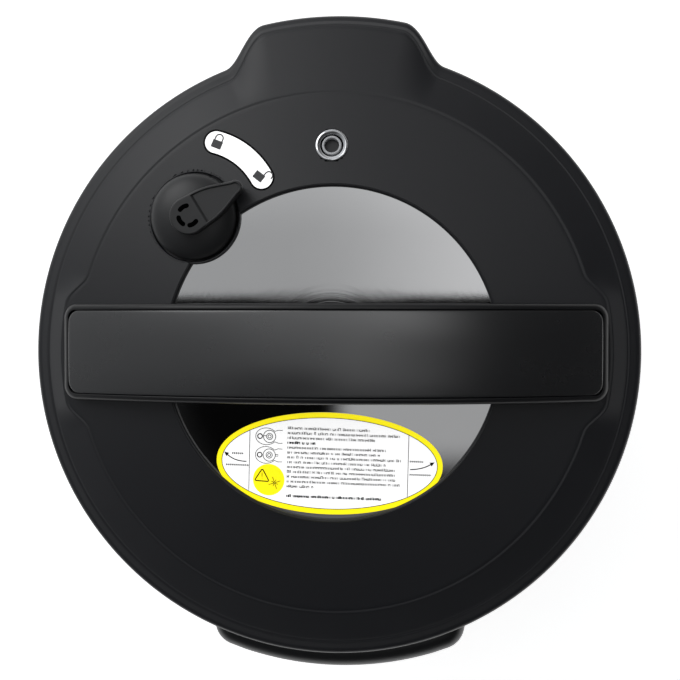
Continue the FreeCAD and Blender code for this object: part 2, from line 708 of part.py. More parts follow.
def make_pressure_switch():
    """Switch that the outer pot's bottom presses as it bulges."""
    return fuse_all([disc(9, Z_OUTER_POT - 14, Z_OUTER_POT, 46, -42),
                     block(36, 56, -46, -38, Z_OUTER_POT - 18, Z_OUTER_POT - 10)])


def make_mains_leads():
    """Two wires from the inlet's rear to the power board."""
    y0 = SHELL_R - 14.0
    leads = []
    for x in (-PIN_SPACING, PIN_SPACING):
        route = [(x, y0, INLET_Z - 4), (x, y0 - 15, INLET_Z - 4),
                 (x, y0 - 26, LEAD_Z), (x, TERMINAL_REAR_Y, LEAD_Z)]
        leads.append(lead("mains lead", route, 2.0))
    return group(leads)


def make_heater_leads():
    """Two wires from the element's terminals to the power board."""
    leads = []
    for side in (-1, 1):
        x = side * ELEMENT_END_X
        y = -ELEMENT_END_Y
        end_x = x + side * 10
        route = [(x, y, Z_OUTER_POT - 6), (x, y, Z_OUTER_POT - 19), (x + side * 4, y + 17, LEAD_Z + 2),
                 (end_x, y + 44, LEAD_Z), (end_x, TERMINAL_FRONT_Y, LEAD_Z)]
        leads.append(lead("heater lead", route, 2.0))
    return group(leads)


def make_control_lead():
    """Cable from the control board down through the shell to the power board."""
    z0 = BUTTON_TOP_Z - BUTTON_PITCH_Z - 16
    y0 = BOARD_Y + BOARD_T / 2.0
    fall = z0 - LEAD_Z
    route = [(30, y0, z0), (30, y0, z0 - 0.41 * fall), (30, y0 + 14, z0 - 0.63 * fall),
             (31, y0 + 40, z0 - 0.73 * fall), (32, y0 + 74, z0 - 0.88 * fall),
             (30, y0 + 112, LEAD_Z), (30, TERMINAL_FRONT_Y, LEAD_Z)]
    return lead("control lead", route, 3.0)


# ---------------------------------------------------------------- rear

def make_rear_housing():
    """Block under the lid's tab: a drip gutter above a pocket for the cup."""
    z0 = CUP_BASE_Z - 9
    body = disc(REAR_R, z0, Z_COLLAR_TOP).common(
        block(-REAR_HALF_W, REAR_HALF_W, SHELL_R - 21, REAR_R + 1, z0, Z_COLLAR_TOP))
    body = body.makeFillet(8.0, upright_edges(body, lambda c: c.y > SHELL_R - 1))
    body = body.cut(disc(SHELL_R, 0, Z_COLLAR)).cut(disc(COLLAR_R, Z_COLLAR, 400))
    pocket_half = CUP_W / 2.0 + SLIDE_GAP
    body = body.cut(block(-pocket_half, pocket_half, SHELL_R + 3, REAR_R + 1, CUP_BASE_Z - SLIDE_GAP,
                          CUP_BASE_Z + CUP_H + 3))
    gutter = ring(REAR_R - 3, COLLAR_R, Z_GROOVE - 4, Z_COLLAR_TOP + 1)
    gutter = gutter.common(block(5 - REAR_HALF_W, REAR_HALF_W - 5, SHELL_R - 21, REAR_R, 0, 400))
    body = body.cut(gutter)
    return body.cut(disc(2.2, CUP_BASE_Z + CUP_H, Z_GROOVE, 0, COLLAR_R + 4))


def make_condensation_cup():
    """Open cup that pulls out of its pocket towards the rear."""
    half = CUP_W / 2.0
    y0 = SHELL_R + 3 + SLIDE_GAP
    top = CUP_BASE_Z + CUP_H
    outer = disc(TAB_R, CUP_BASE_Z, top).common(block(-half, half, y0, 200, CUP_BASE_Z, top))
    outer = outer.makeFillet(5.0, upright_edges(outer, lambda c: c.y > SHELL_R + 14))
    inner = disc(TAB_R - CUP_WALL, CUP_BASE_Z + CUP_WALL, top + 1).common(
        block(CUP_WALL - half, half - CUP_WALL, y0 + CUP_WALL, 200, 0, top + 1))
    inner = inner.makeFillet(5.0 - CUP_WALL, upright_edges(inner, lambda c: c.y > SHELL_R + 14))
    return outer.cut(inner)


# ---------------------------------------------------------------- lid

SPHERE_R = (DOME_R ** 2 + DOME_RISE ** 2) / (2.0 * DOME_RISE)


def dome_z(radius, lift):
    """Height of the dome's spherical top, raised by a lift, at a radius."""
    return Z_CROWN - SPHERE_R + math.sqrt((SPHERE_R + lift) ** 2 - radius ** 2)


def dome_points(lift, edge_r):
    """Outline pieces of the dome's top, raised by a lift, from the axis out to an edge."""
    return [(0, dome_z(0, lift)), (edge_r / 2.0, dome_z(edge_r / 2.0, lift),
                                   edge_r, dome_z(edge_r, lift))]


def dome_points_inward(lift, edge_r):
    """The same outline pieces from the edge in to the axis."""
    return [(edge_r, dome_z(edge_r, lift)),
            (edge_r / 2.0, dome_z(edge_r / 2.0, lift), 0, dome_z(0, lift))]


def make_steel_lid():
    """Pressed lid: dome, valve shelf, seat for the ring, and a skirt with bayonet teeth."""
    inner_edge = DOME_R - LID_T
    lid = turned([
        *dome_points(0, DOME_R), (DOME_R + 2, Z_SHELF_TOP), (STEP_R, Z_SHELF_TOP),
        (STEP_R + 2, Z_SEAT_TOP), (SKIRT_R - 2, Z_SEAT_TOP), (SKIRT_R, Z_SEAT_TOP - 2),
        (SKIRT_R, Z_SKIRT), (SKIRT_IN_R, Z_SKIRT), (SKIRT_IN_R, Z_SEAT), (STEP_R + 2 - LID_T, Z_SEAT),
        (STEP_R - LID_T, Z_SHELF), (inner_edge + 2, Z_SHELF),
        *dome_points_inward(-LID_T, inner_edge)])
    tooth = sector(SKIRT_R - LID_T / 2.0, Z_SKIRT, Z_LID_TOOTH_TOP, 0, TOOTH_HALF_ANGLE)
    tooth = tooth.cut(disc(LID_TOOTH_IN_R, Z_SKIRT - 1, Z_LID_TOOTH_TOP + 1))
    lid = fuse_all([lid] + around(tooth, TOOTH_COUNT, 30))
    lid = lid.cut(disc(VENT_STEM_R, Z_SHELF - 1, Z_SHELF_TOP + 1, KNOB_X, KNOB_Y))
    lid = lid.cut(disc(FLOAT_STEM_R + TURN_GAP, Z_SHELF - 1, Z_SHELF_TOP + 1, 0, FLOAT_Y))
    for x, y in lid_screw_places():
        lid = lid.cut(disc(SCREW_R, Z_SEAT - 1, Z_SEAT_TOP + 1, x, y))
    return lid


def lid_screw_places():
    """Centres of the four screws that hold the cover to the steel lid."""
    return [((STEP_R + 13) * math.cos(math.radians(a)), (STEP_R + 13) * math.sin(math.radians(a)))
            for a in (45, 135, 225, 315)]


def cover_slopes():
    """Top outline of the cover from its shoulder in to the opening."""
    return [(COVER_SHOULDER_R, Z_SHOULDER),
            (COVER_CREASE_R + 0.6, Z_CREASE), (COVER_CREASE_R, Z_CREASE - 0.6),
            (COVER_CREASE_R - 0.6, Z_CREASE + 0.1), (COVER_OPENING_R + 4, Z_OPENING),
            (COVER_OPENING_R + 1, Z_OPENING - 0.6, COVER_OPENING_R, Z_OPENING - 3)]


def round_cover_filled(z0):
    """Everything under the round cover's top surface, down to a height."""
    edge_z = Z_COVER + COVER_EDGE_H
    rounding = (COVER_R - 1.6, edge_z + 6.6, COVER_SHOULDER_R, Z_SHOULDER)
    return turned([(0, z0), (COVER_R, z0), (COVER_R, edge_z), rounding]
                  + cover_slopes()[1:] + [(0, Z_OPENING - 3)])


def tab_filled():
    """Everything under the rear tab's top surface, which runs on from the shoulder."""
    edge_z = Z_COVER + COVER_EDGE_H
    lip_r = TAB_R - COVER_R + COVER_SHOULDER_R
    lip_z = Z_SHOULDER - TAB_DROP
    return turned([(0, Z_COVER), (TAB_R, Z_COVER), (TAB_R, edge_z),
                   (TAB_R - 1.6, edge_z + 0.9 * (lip_z - edge_z) - 0.5, lip_r, lip_z),
                   (COVER_SHOULDER_R, Z_SHOULDER), (0, Z_SHOULDER)])


def cover_core():
    """Hollow under the round cover, up to its lip over the polished dome."""
    lip_z = Z_DOME_EDGE + COVER_OVER_STEEL
    return turned([(0, Z_COVER - 1), (COVER_R - COVER_T, Z_COVER - 1),
                   (COVER_R - COVER_T, Z_COVER + COVER_EDGE_H),
                   (COVER_SHOULDER_R - 1, Z_SHOULDER - COVER_T), (COVER_CREASE_R, Z_CREASE - COVER_T),
                   (COVER_OPENING_R + 3.5, Z_OPENING - COVER_T), (COVER_OPENING_R + 1.8, lip_z),
                   (0, lip_z)])


def tab_core():
    """Hollow under the rear tab."""
    top = Z_SHOULDER - TAB_DROP - COVER_T
    hollow = turned([(0, Z_COVER - 1), (TAB_R - COVER_T, Z_COVER - 1),
                     (TAB_R - COVER_T, Z_COVER + COVER_EDGE_H), (TAB_R - COVER_T - 5, top), (0, top)])
    return hollow.common(prism(tab_plan(COVER_T), Z_COVER - 1, Z_OPENING))


def steel_room():
    """Room that the cover's boss leaves round the polished dome."""
    gap = COVER_OVER_STEEL / 2.0
    return turned([(0, 0), (DOME_R + 2 + gap, 0), (DOME_R + 2 + gap, Z_SHELF_TOP),
                   *dome_points_inward(gap, DOME_R + gap)])


def tab_plan(inset):
    """Plan of the rear tab: flanks that flare into the round edge and turn in at the corners."""
    root = math.radians(TAB_ROOT_ANGLE)
    corner = math.radians(TAB_CORNER_ANGLE)
    mid = (root + corner) / 2.0
    flank = (corner - root) / 4.0
    mid_r = (COVER_R + TAB_R) / 2.0
    spots = [(COVER_R, root), (COVER_R + (TAB_R - COVER_R) * 0.16, mid - flank), (mid_r, mid),
             (TAB_R - (TAB_R - COVER_R) * 0.16, mid + flank), (TAB_R, corner)]
    right = [((r - inset) * math.sin(a), (r - inset) * math.cos(a)) for r, a in spots]
    left = [(-x, y) for x, y in right[::-1]]
    base_y = right[0][1] - 40
    return [(left[-1][0], base_y), (right[0][0], base_y), right[0],
            right[1] + right[2], right[3] + right[4], (right[4][0], TAB_R + 2),
            (left[0][0], TAB_R + 2), left[0], left[1] + left[2], left[3] + left[4]]


KNOB_SPIGOT_R = KNOB_HUB_R + TURN_GAP
SPIGOT_WALL = 1.5
FLOAT_BUSH_Z = Z_SHELF_TOP + 9.0
FLOAT_STEM_R = 2.9
VENT_STEM_R = 5.0


def cone_height(radius):
    """Height of the cover's inner slope at a radius."""
    share = (radius - COVER_OPENING_R - 4) / (COVER_CREASE_R - 0.6 - COVER_OPENING_R - 4)
    return Z_OPENING + share * (Z_CREASE + 0.1 - Z_OPENING)


def make_lid_cover():
    """Plastic cover with its rear tab, the knob's round boss and the screw bosses."""
    tab = tab_filled().common(prism(tab_plan(0), Z_COVER, Z_OPENING))
    cover = round_cover_filled(Z_COVER).fuse(tab)
    cover = cover.cut(cover_core().fuse(tab_core()))
    cover = cover.cut(disc(COVER_OPENING_R, 0, 400))
    boss = disc(KNOB_BOSS_R, Z_SHELF_TOP + 6, Z_OPENING + 0.3, KNOB_X, KNOB_Y).cut(steel_room())
    cover = fuse_all([cover, boss])
    cover = cover.cut(disc(KNOB_WELL_R, Z_KNOB_FLOOR, 400, KNOB_X, KNOB_Y))
    spigot = disc(KNOB_SPIGOT_R + SPIGOT_WALL, Z_KNOB_FLOOR - 2, Z_KNOB_FLOOR + 4, KNOB_X, KNOB_Y)
    cover = cover.fuse(spigot.cut(steel_room()))
    cover = cover.cut(disc(KNOB_SPIGOT_R, 0, 400, KNOB_X, KNOB_Y))
    float_boss = disc(FLOAT_COLLAR_R + 2.5, FLOAT_BUSH_Z, cone_height(FLOAT_Y + 11) - 1, 0, FLOAT_Y)
    cover = cover.fuse(float_boss)
    cover = cover.cut(disc(FLOAT_COLLAR_R, 0, 400, 0, FLOAT_Y))
    posts = [disc(5, Z_SEAT_TOP, Z_CREASE - 1.5, x, y) for x, y in lid_screw_places()]
    cover = fuse_all([cover] + posts)
    for x, y in lid_screw_places():
        cover = cover.cut(disc(SCREW_R, Z_SEAT_TOP - 1, Z_SEAT_TOP + 12, x, y))
    for x, y in handle_screw_places():
        cover = cover.cut(disc(SCREW_R, Z_COVER, Z_OPENING, x, y))
    return cover


def handle_screw_places():
    """Centres of the four screws under the handle's feet."""
    x = HANDLE_HALF_L - HANDLE_FOOT_L / 2.0
    return [(sx * x, sy * 13.0) for sx in (-1, 1) for sy in (-1, 1)]


def arch(top_drop, half_l, half_w):
    """Bar that follows the handle's top curve, lowered by a drop, down to the cover."""
    crest = Z_HANDLE_TOP - top_drop
    end = crest - HANDLE_END_DROP * (half_l / HANDLE_HALF_L) ** 2
    wire = outline([(-half_l, Z_COVER), (-half_l, end), (0, crest, half_l, end), (half_l, Z_COVER)])
    wire.rotate(Vector(0, 0, 0), Vector(1, 0, 0), 90)
    bar = Part.Face(wire).extrude(Vector(0, 2 * half_w, 0))
    bar.translate(Vector(0, -half_w, 0))
    return bar


def make_handle():
    """Arched bridge handle and the glossy cap let into its top."""
    body = arch(CAP_PROUD, HANDLE_HALF_L, HANDLE_W / 2.0)
    body = body.makeFillet(HANDLE_CORNER, upright_edges(body, lambda c: True))
    foot_in = HANDLE_HALF_L - HANDLE_FOOT_L
    under_crest = Z_HANDLE_TOP - CAP_PROUD - HANDLE_T
    under_end = cone_height(foot_in) + 2.5
    wire = outline([(-foot_in, 0), (-foot_in, under_end), (0, under_crest, foot_in, under_end),
                    (foot_in, 0)])
    wire.rotate(Vector(0, 0, 0), Vector(1, 0, 0), 90)
    gap = Part.Face(wire).extrude(Vector(0, HANDLE_W + 20, 0))
    gap.translate(Vector(0, -HANDLE_W / 2.0 - 10, 0))
    body = body.cut(gap).cut(round_cover_filled(0))
    cap_l = HANDLE_HALF_L - CAP_INSET + 0.4
    cap_w = HANDLE_W / 2.0 - CAP_INSET
    cap = arch(0, cap_l, cap_w)
    cap = cap.makeFillet(HANDLE_CORNER - 1, upright_edges(cap, lambda c: True))
    cap = cap.cut(arch(CAP_T, HANDLE_HALF_L, HANDLE_W))
    body = body.cut(cap)
    for x, y in handle_screw_places():
        body = body.cut(disc(SCREW_R, 0, cone_height(abs(x)) + 5, x, y))
    return body, cap


def make_handle_screws():
    """Four screws from under the cover into the handle's feet."""
    screws = []
    for x, y in handle_screw_places():
        top = cone_height(abs(x)) + 5
        head_top = cone_height(math.hypot(abs(x), abs(y)) + SCREW_HEAD_R + 1) - COVER_T - 0.6
        screws.append(fuse_all([disc(SCREW_R, head_top - SCREW_HEAD_T, top, x, y),
                                disc(SCREW_HEAD_R, head_top - SCREW_HEAD_T, head_top, x, y)]))
    return group(screws)


def make_lid_screws():
    """Four screws from inside the steel lid into the cover's posts."""
    return group([fuse_all([disc(SCREW_HEAD_R, Z_SEAT - SCREW_HEAD_T, Z_SEAT, x, y),
                            disc(SCREW_R, Z_SEAT - SCREW_HEAD_T, Z_SEAT_TOP + 11, x, y)])
                  for x, y in lid_screw_places()])


RACK_R = POT_R - 1.0
RACK_WIRE_R = 1.2


def make_ring_rack():
    """Wire ring that keeps the sealing ring in place, on four clips."""
    z = Z_RIM_TOP + RING_H / 2.0
    hoop = Part.makeTorus(RACK_R, RACK_WIRE_R, Vector(0, 0, z))
    clip = block(RACK_R - 1.2, RACK_R, -4, 4, z, Z_SHELF)
    return fuse_all([hoop] + around(clip, 4, 0))


def make_sealing_ring():
    """Silicone ring between the pot's rim and the lid's seat."""
    inner = POT_R + 2.0
    outer = POT_RIM_R + 1.5
    return turned([
        (inner, Z_RIM_TOP), (outer - 1, Z_RIM_TOP), (outer, Z_RIM_TOP + 1), (outer, Z_SEAT - 1),
        (outer - 1, Z_SEAT), (inner, Z_SEAT), (inner, Z_SEAT - 1.8), (inner + 4, Z_SEAT - 2.6),
        (inner + 4, Z_RIM_TOP + 2.6), (inner, Z_RIM_TOP + 1.8)])


# ---------------------------------------------------------------- steam valve

Z_GASKET_TOP = Z_SHELF_TOP + 1.0
Z_VENT_TIP = Z_KNOB_FLOOR + 3.0
VENT_TIP_R = 4.0
WEIGHT_R = KNOB_HUB_R - 2.0
Z_WEIGHT_SEAT = Z_VENT_TIP + VALVE_LIFT + 0.1
Z_KNOB = Z_KNOB_FLOOR + 0.6
Z_KNOB_TOP = Z_KNOB + KNOB_H
NUT_H = 5.0
NUT_ACROSS_CORNERS_R = 9.0
FILTER_R = 13.5


def make_vent_gasket():
    """Silicone washer under the vent pipe's flange."""
    return ring(8, VENT_STEM_R, Z_SHELF_TOP, Z_GASKET_TOP, KNOB_X, KNOB_Y)


def make_vent_pipe():
    """Pipe through the lid's shelf, with a flange, a thread below and a seat on top."""
    pipe = turned([
        (1.5, Z_SHELF - NUT_H - 1.5), (VENT_STEM_R, Z_SHELF - NUT_H - 1.5), (VENT_STEM_R, Z_GASKET_TOP),
        (8, Z_GASKET_TOP), (8, Z_GASKET_TOP + 2), (VENT_TIP_R, Z_GASKET_TOP + 3),
        (VENT_TIP_R, Z_VENT_TIP - 1.5), (VENT_TIP_R - 1.5, Z_VENT_TIP), (1.5, Z_VENT_TIP)])
    return moved(pipe, KNOB_X, KNOB_Y)


def make_vent_nut():
    """Hexagon nut that clamps the vent pipe."""
    corners = [(NUT_ACROSS_CORNERS_R * math.cos(math.radians(60 * i)),
                NUT_ACROSS_CORNERS_R * math.sin(math.radians(60 * i))) for i in range(6)]
    nut = prism(corners, Z_SHELF - NUT_H, Z_SHELF).cut(disc(VENT_STEM_R, 0, 400))
    return moved(nut, KNOB_X, KNOB_Y)


def make_steam_filter():
    """Slotted steel cap inside the lid that keeps food out of the vent pipe."""
    z0 = Z_SHELF - 15.0
    cap = turned([(0, z0), (FILTER_R, z0), (FILTER_R, Z_SHELF), (FILTER_R - 1, Z_SHELF),
                  (FILTER_R - 1, z0 + 1), (0, z0 + 1)])
    slot = block(FILTER_R - 3, FILTER_R + 1, -1.2, 1.2, z0 + 3, Z_SHELF - 3)
    for one in around(slot, 12):
        cap = cap.cut(one)
    return moved(cap, KNOB_X, KNOB_Y)


def make_valve_weight():
    """Weight that closes the vent pipe, raised by the knob when it vents."""
    bore = VENT_TIP_R + SLIDE_GAP
    weight = turned([
        (bore, Z_VENT_TIP - 4), (WEIGHT_R - 0.4, Z_VENT_TIP - 4), (WEIGHT_R, Z_VENT_TIP - 3.6),
        (WEIGHT_R, Z_VENT_TIP + 4.5), (WEIGHT_R - 1, Z_VENT_TIP + 5.5), (0, Z_VENT_TIP + 5.5),
        (0, Z_WEIGHT_SEAT), (bore, Z_WEIGHT_SEAT)])
    return moved(weight, KNOB_X, KNOB_Y)


def lever_plan(inset):
    """Leaf-shaped plan of the lever, along +X from the knob's axis."""
    root = LEVER_ROOT_W / 2.0 - inset
    tip = LEVER_TIP_W / 2.0 - inset
    end = LEVER_LENGTH - inset
    bend = math.sqrt(0.5)
    mid_x = end * 0.5
    mid_w = root * 0.8
    return [(-root, 0), (-root * bend, root * bend, 0, root), (mid_x, mid_w, end - tip, tip),
            (end, 0, end - tip, -tip), (mid_x, -mid_w, 0, -root),
            (-root * bend, -root * bend, -root, 0)]


def make_release_knob():
    """Domed knob with a pointer lever and three steam slots."""
    guide = WEIGHT_R + TURN_GAP
    dome_top = Z_KNOB_TOP - LEVER_T + 1.0
    bend = 0.72
    knob = turned([
        (guide, Z_KNOB_FLOOR + 0.6), (KNOB_HUB_R, Z_KNOB_FLOOR + 0.6), (KNOB_HUB_R, dome_top - 3),
        (KNOB_R - 4, Z_KNOB + 4), (KNOB_R - 2, Z_KNOB), (KNOB_R, Z_KNOB), (KNOB_R, Z_KNOB + 3),
        (KNOB_R * bend, Z_KNOB + (dome_top - Z_KNOB) * 0.86, KNOB_HUB_R, dome_top),
        (0, dome_top), (0, dome_top - 1.2), (guide, dome_top - 1.2)])
    lever = prism(lever_plan(0.0), dome_top - 1.2, Z_KNOB_TOP - 0.8)
    lever = lever.fuse(prism(lever_plan(0.8), Z_KNOB_TOP - 0.8, Z_KNOB_TOP))
    knob = knob.fuse(lever)
    slot = ring(14.5, 11.0, Z_KNOB - 1, Z_KNOB_TOP + 1).common(
        sector(20, Z_KNOB - 1, Z_KNOB_TOP + 1, 180, 20))
    for turn in (-85, 0, 85):
        knob = knob.cut(spun(slot, turn))
    return moved(spun(knob, LEVER_ANGLE), KNOB_X, KNOB_Y)


# ---------------------------------------------------------------- float valve and interlock

FLOAT_HEAD_Z = Z_SHELF_TOP + 2.4
FLOAT_HEAD_T = 3.6
Z_SLIDER = FLOAT_HEAD_Z + FLOAT_HEAD_T + 0.6
SLIDER_T = 1.4
SLIDER_HALF_L = 20.0
SLIDER_HALF_W = 9.0


def make_float_pin():
    """Float pin with a hollow ringed head above the shelf."""
    head_top = FLOAT_HEAD_Z + FLOAT_HEAD_T
    stem_end = Z_SHELF - FLOAT_STROKE - 5.0
    pin = turned([
        (0, stem_end), (FLOAT_STEM_R, stem_end), (FLOAT_STEM_R, FLOAT_HEAD_Z),
        (FLOAT_RING_R, FLOAT_HEAD_Z), (FLOAT_RING_R, head_top), (FLOAT_RING_R - 1.2, head_top),
        (FLOAT_RING_R - 1.2, head_top - 2.4), (0, head_top - 2.4)])
    return moved(pin, 0, FLOAT_Y)


def make_float_gasket():
    """Silicone seal on the pin, inside the lid."""
    top = Z_SHELF - FLOAT_STROKE - 0.2
    return ring(FLOAT_RING_R + 0.6, FLOAT_STEM_R, top - 2.6, top, 0, FLOAT_Y)


def make_float_bush():
    """Polished collar round the float's opening in the cover."""
    top = cone_height(FLOAT_Y) + 0.6
    inner = FLOAT_RING_R + 0.9
    bush = turned([(inner, FLOAT_BUSH_Z), (FLOAT_COLLAR_R, FLOAT_BUSH_Z), (FLOAT_COLLAR_R, top - 0.5),
                   (FLOAT_COLLAR_R - 0.5, top), (FLOAT_COLLAR_R - 1.0, top), (inner, top - 2.2)])
    return moved(bush, 0, FLOAT_Y)


def make_lock_slider():
    """Forked plate whose arm blocks the float unless the lid is fully turned."""
    plate = block(-SLIDER_HALF_L, SLIDER_HALF_L, FLOAT_Y - SLIDER_HALF_W, FLOAT_Y + SLIDER_HALF_W,
                  Z_SLIDER, Z_SLIDER + SLIDER_T)
    reach = FLOAT_RING_R + SLIDE_GAP
    return plate.cut(block(-reach, reach, FLOAT_Y - reach, FLOAT_Y + SLIDER_HALF_W + 1, 0, 400))


def make_slider_guides():
    """Two rails on the shelf that the slider runs on."""
    half = 3.0
    x = SLIDER_HALF_L - half - 2
    return group([block(sx * x - half, sx * x + half, FLOAT_Y - SLIDER_HALF_W, FLOAT_Y + SLIDER_HALF_W,
                        Z_SHELF_TOP, Z_SLIDER) for sx in (-1, 1)])


# ---------------------------------------------------------------- stickers

def make_info_sticker():
    """Oval label on the polished dome, in front of the handle."""
    layer = turned(dome_points(STICKER_T, DOME_R) + dome_points_inward(0, DOME_R))
    oval = Part.Ellipse(Vector(0, 0, 0), STICKER_HALF_L, STICKER_HALF_W).toShape()
    plate = Part.Face(Part.Wire(oval)).extrude(Vector(0, 0, 60))
    plate = moved(spun(plate, STICKER_TURN), STICKER_X, STICKER_Y, Z_DOME_EDGE - 20)
    return layer.common(plate).common(disc(COVER_OPENING_R - 0.6, 0, 400))


STICKER_HALF_L, STICKER_HALF_W = 54.5, 24.8
STICKER_X, STICKER_Y = -2.5, -53.6
STICKER_TURN = -1.5
SCALE_IN_R, SCALE_OUT_R = 32.8, 43.6
SCALE_FROM, SCALE_TO = 29.6, 73.8


def make_scale_sticker():
    """Curved label beside the knob that marks the open and the closed position."""
    mid_r = (SCALE_IN_R + SCALE_OUT_R) / 2.0
    end_r = (SCALE_OUT_R - SCALE_IN_R) / 2.0
    band = ring(SCALE_OUT_R, SCALE_IN_R, 0, 400).common(
        sector(SCALE_OUT_R + 5, 0, 400, (SCALE_FROM + SCALE_TO) / 2.0, (SCALE_TO - SCALE_FROM) / 2.0))
    ends = [disc(end_r, 0, 400, mid_r * math.cos(math.radians(a)), mid_r * math.sin(math.radians(a)))
            for a in (SCALE_FROM, SCALE_TO)]
    band = moved(fuse_all([band] + ends), KNOB_X, KNOB_Y)
    slope = turned([(COVER_OPENING_R + 4, Z_OPENING), (COVER_OPENING_R + 4, Z_OPENING + STICKER_T),
                    (COVER_CREASE_R - 0.6, Z_CREASE + 0.1 + STICKER_T),
                    (COVER_CREASE_R - 0.6, Z_CREASE + 0.1)])
    return slope.common(band)


# ---------------------------------------------------------------- all parts

def main():
    """Build every node and write it."""
    save("inner_pot", make_inner_pot())
    save("outer_pot", make_outer_pot())
    save("heat_shield", make_heat_shield())
    save("heating_plate", make_heating_plate())
    save("heating_element", make_heating_element())
    save("plate_standoffs", make_plate_standoffs())
    save("sensor_bracket", make_sensor_bracket())
    save("temperature_sensor", make_temperature_sensor())
    save("sensor_spring", make_sensor_spring())
    save("base_pan", make_base_pan())
    save("rubber_feet", make_rubber_feet())
    save("pot_pillars", make_pot_pillars())
    save("base_screws", make_base_screws())
    save("power_inlet", make_power_inlet())
    save("inlet_pins", make_inlet_pins())
    save("outer_shell", make_outer_shell())
    save("upper_collar", make_upper_collar())
    save("left_grip", make_grip(-1))
    save("right_grip", make_grip(1))
    save("front_fascia", make_front_fascia())
    save("display_window", make_display_window())
    save("display_module", make_display_module())
    save("control_board", make_control_board())
    save("key_switches", make_key_switches())
    for name, x, z in button_places():
        save(name, make_button(x, z))
    save("power_board", make_power_board())
    save("power_board_parts", make_power_board_parts())
    save("thermal_fuse", make_thermal_fuse())
    save("pressure_switch", make_pressure_switch())
    save("mains_leads", make_mains_leads())
    save("heater_leads", make_heater_leads())
    save("control_lead", make_control_lead())
    save("rear_housing", make_rear_housing())
    save("condensation_cup", make_condensation_cup())
    save("steel_lid", make_steel_lid())
    save("lid_cover", make_lid_cover())
    handle_shell, handle_cap = make_handle()
    save("handle_shell", handle_shell)
    save("handle_cap", handle_cap)
    save("handle_screws", make_handle_screws())
    save("lid_screws", make_lid_screws())
    save("ring_rack", make_ring_rack())
    save("sealing_ring", make_sealing_ring())
    save("vent_gasket", make_vent_gasket())
    save("vent_pipe", make_vent_pipe())
    save("vent_nut", make_vent_nut())
    save("steam_filter", make_steam_filter())
    save("valve_weight", make_valve_weight())
    save("release_knob", make_release_knob())
    save("float_pin", make_float_pin())
    save("float_gasket", make_float_gasket())
    save("float_bush", make_float_bush())
    save("lock_slider", make_lock_slider())
    save("slider_guides", make_slider_guides())
    save("info_sticker", make_info_sticker())
    save("scale_sticker", make_scale_sticker())


main()
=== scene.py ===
"""Looks of an electric pressure cooker, seen from above its closed lid.

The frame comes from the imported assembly. Each class below holds the sizes of one sub-assembly and
builds its meshes as numpy surfaces: closed loops carried round an axis, or outlines in plan that are
lofted through stations. Lengths inside the classes are in millimetres, and meshes are in metres.
"""

import json
import logging
import math
from dataclasses import dataclass, field
from enum import Enum
from typing import Callable, Dict, List, Optional, Sequence, Tuple, Union

import bpy
import numpy as np
from mathutils import Matrix, Vector


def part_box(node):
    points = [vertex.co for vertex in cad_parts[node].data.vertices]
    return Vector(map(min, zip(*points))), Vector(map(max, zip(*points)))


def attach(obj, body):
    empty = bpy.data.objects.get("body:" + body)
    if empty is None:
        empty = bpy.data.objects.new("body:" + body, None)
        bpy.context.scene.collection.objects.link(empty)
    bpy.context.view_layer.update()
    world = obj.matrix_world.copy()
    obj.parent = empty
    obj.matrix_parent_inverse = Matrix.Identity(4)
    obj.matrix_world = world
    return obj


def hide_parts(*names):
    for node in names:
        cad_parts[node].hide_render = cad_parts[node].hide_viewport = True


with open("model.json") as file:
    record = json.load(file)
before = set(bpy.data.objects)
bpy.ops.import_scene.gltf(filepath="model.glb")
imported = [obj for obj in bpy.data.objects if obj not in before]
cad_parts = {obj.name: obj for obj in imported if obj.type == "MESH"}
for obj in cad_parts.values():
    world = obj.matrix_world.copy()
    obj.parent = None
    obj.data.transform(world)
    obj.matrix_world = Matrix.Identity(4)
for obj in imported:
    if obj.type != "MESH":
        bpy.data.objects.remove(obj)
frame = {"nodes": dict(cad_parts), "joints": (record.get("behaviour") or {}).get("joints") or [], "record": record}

MM = 0.001
LOG = logging.getLogger("cooker")
Array = np.ndarray
Height = Callable[[Array, Array], Array]
Value = Union[float, bpy.types.NodeSocket]


# ---------------------------------------------------------------- small mathematics

def ramp(value: Array, start: float, end: float) -> Array:
    """Smooth step, 3t^2 - 2t^3 with t running from 0 at start to 1 at end.

    Args:
        value: where to evaluate it.
        start: value at which the step begins.
        end: value at which the step is complete.
    Returns:
        the step, from 0 to 1.
    """
    t = np.clip((np.asarray(value, float) - start) / (end - start), 0.0, 1.0)
    return t * t * (3.0 - 2.0 * t)


def arc(cx: float, cy: float, r: float, a0: float, a1: float, n: int = 8) -> Array:
    """Points of a circular arc in a plane: centre + r (cos a, sin a).

    Args:
        cx: centre, first coordinate.
        cy: centre, second coordinate.
        r: radius.
        a0: first angle in degrees.
        a1: last angle in degrees.
        n: number of points.
    Returns:
        an (n, 2) array.
    """
    a = np.radians(np.linspace(a0, a1, n))
    return np.stack([cx + r * np.cos(a), cy + r * np.sin(a)], axis=1)


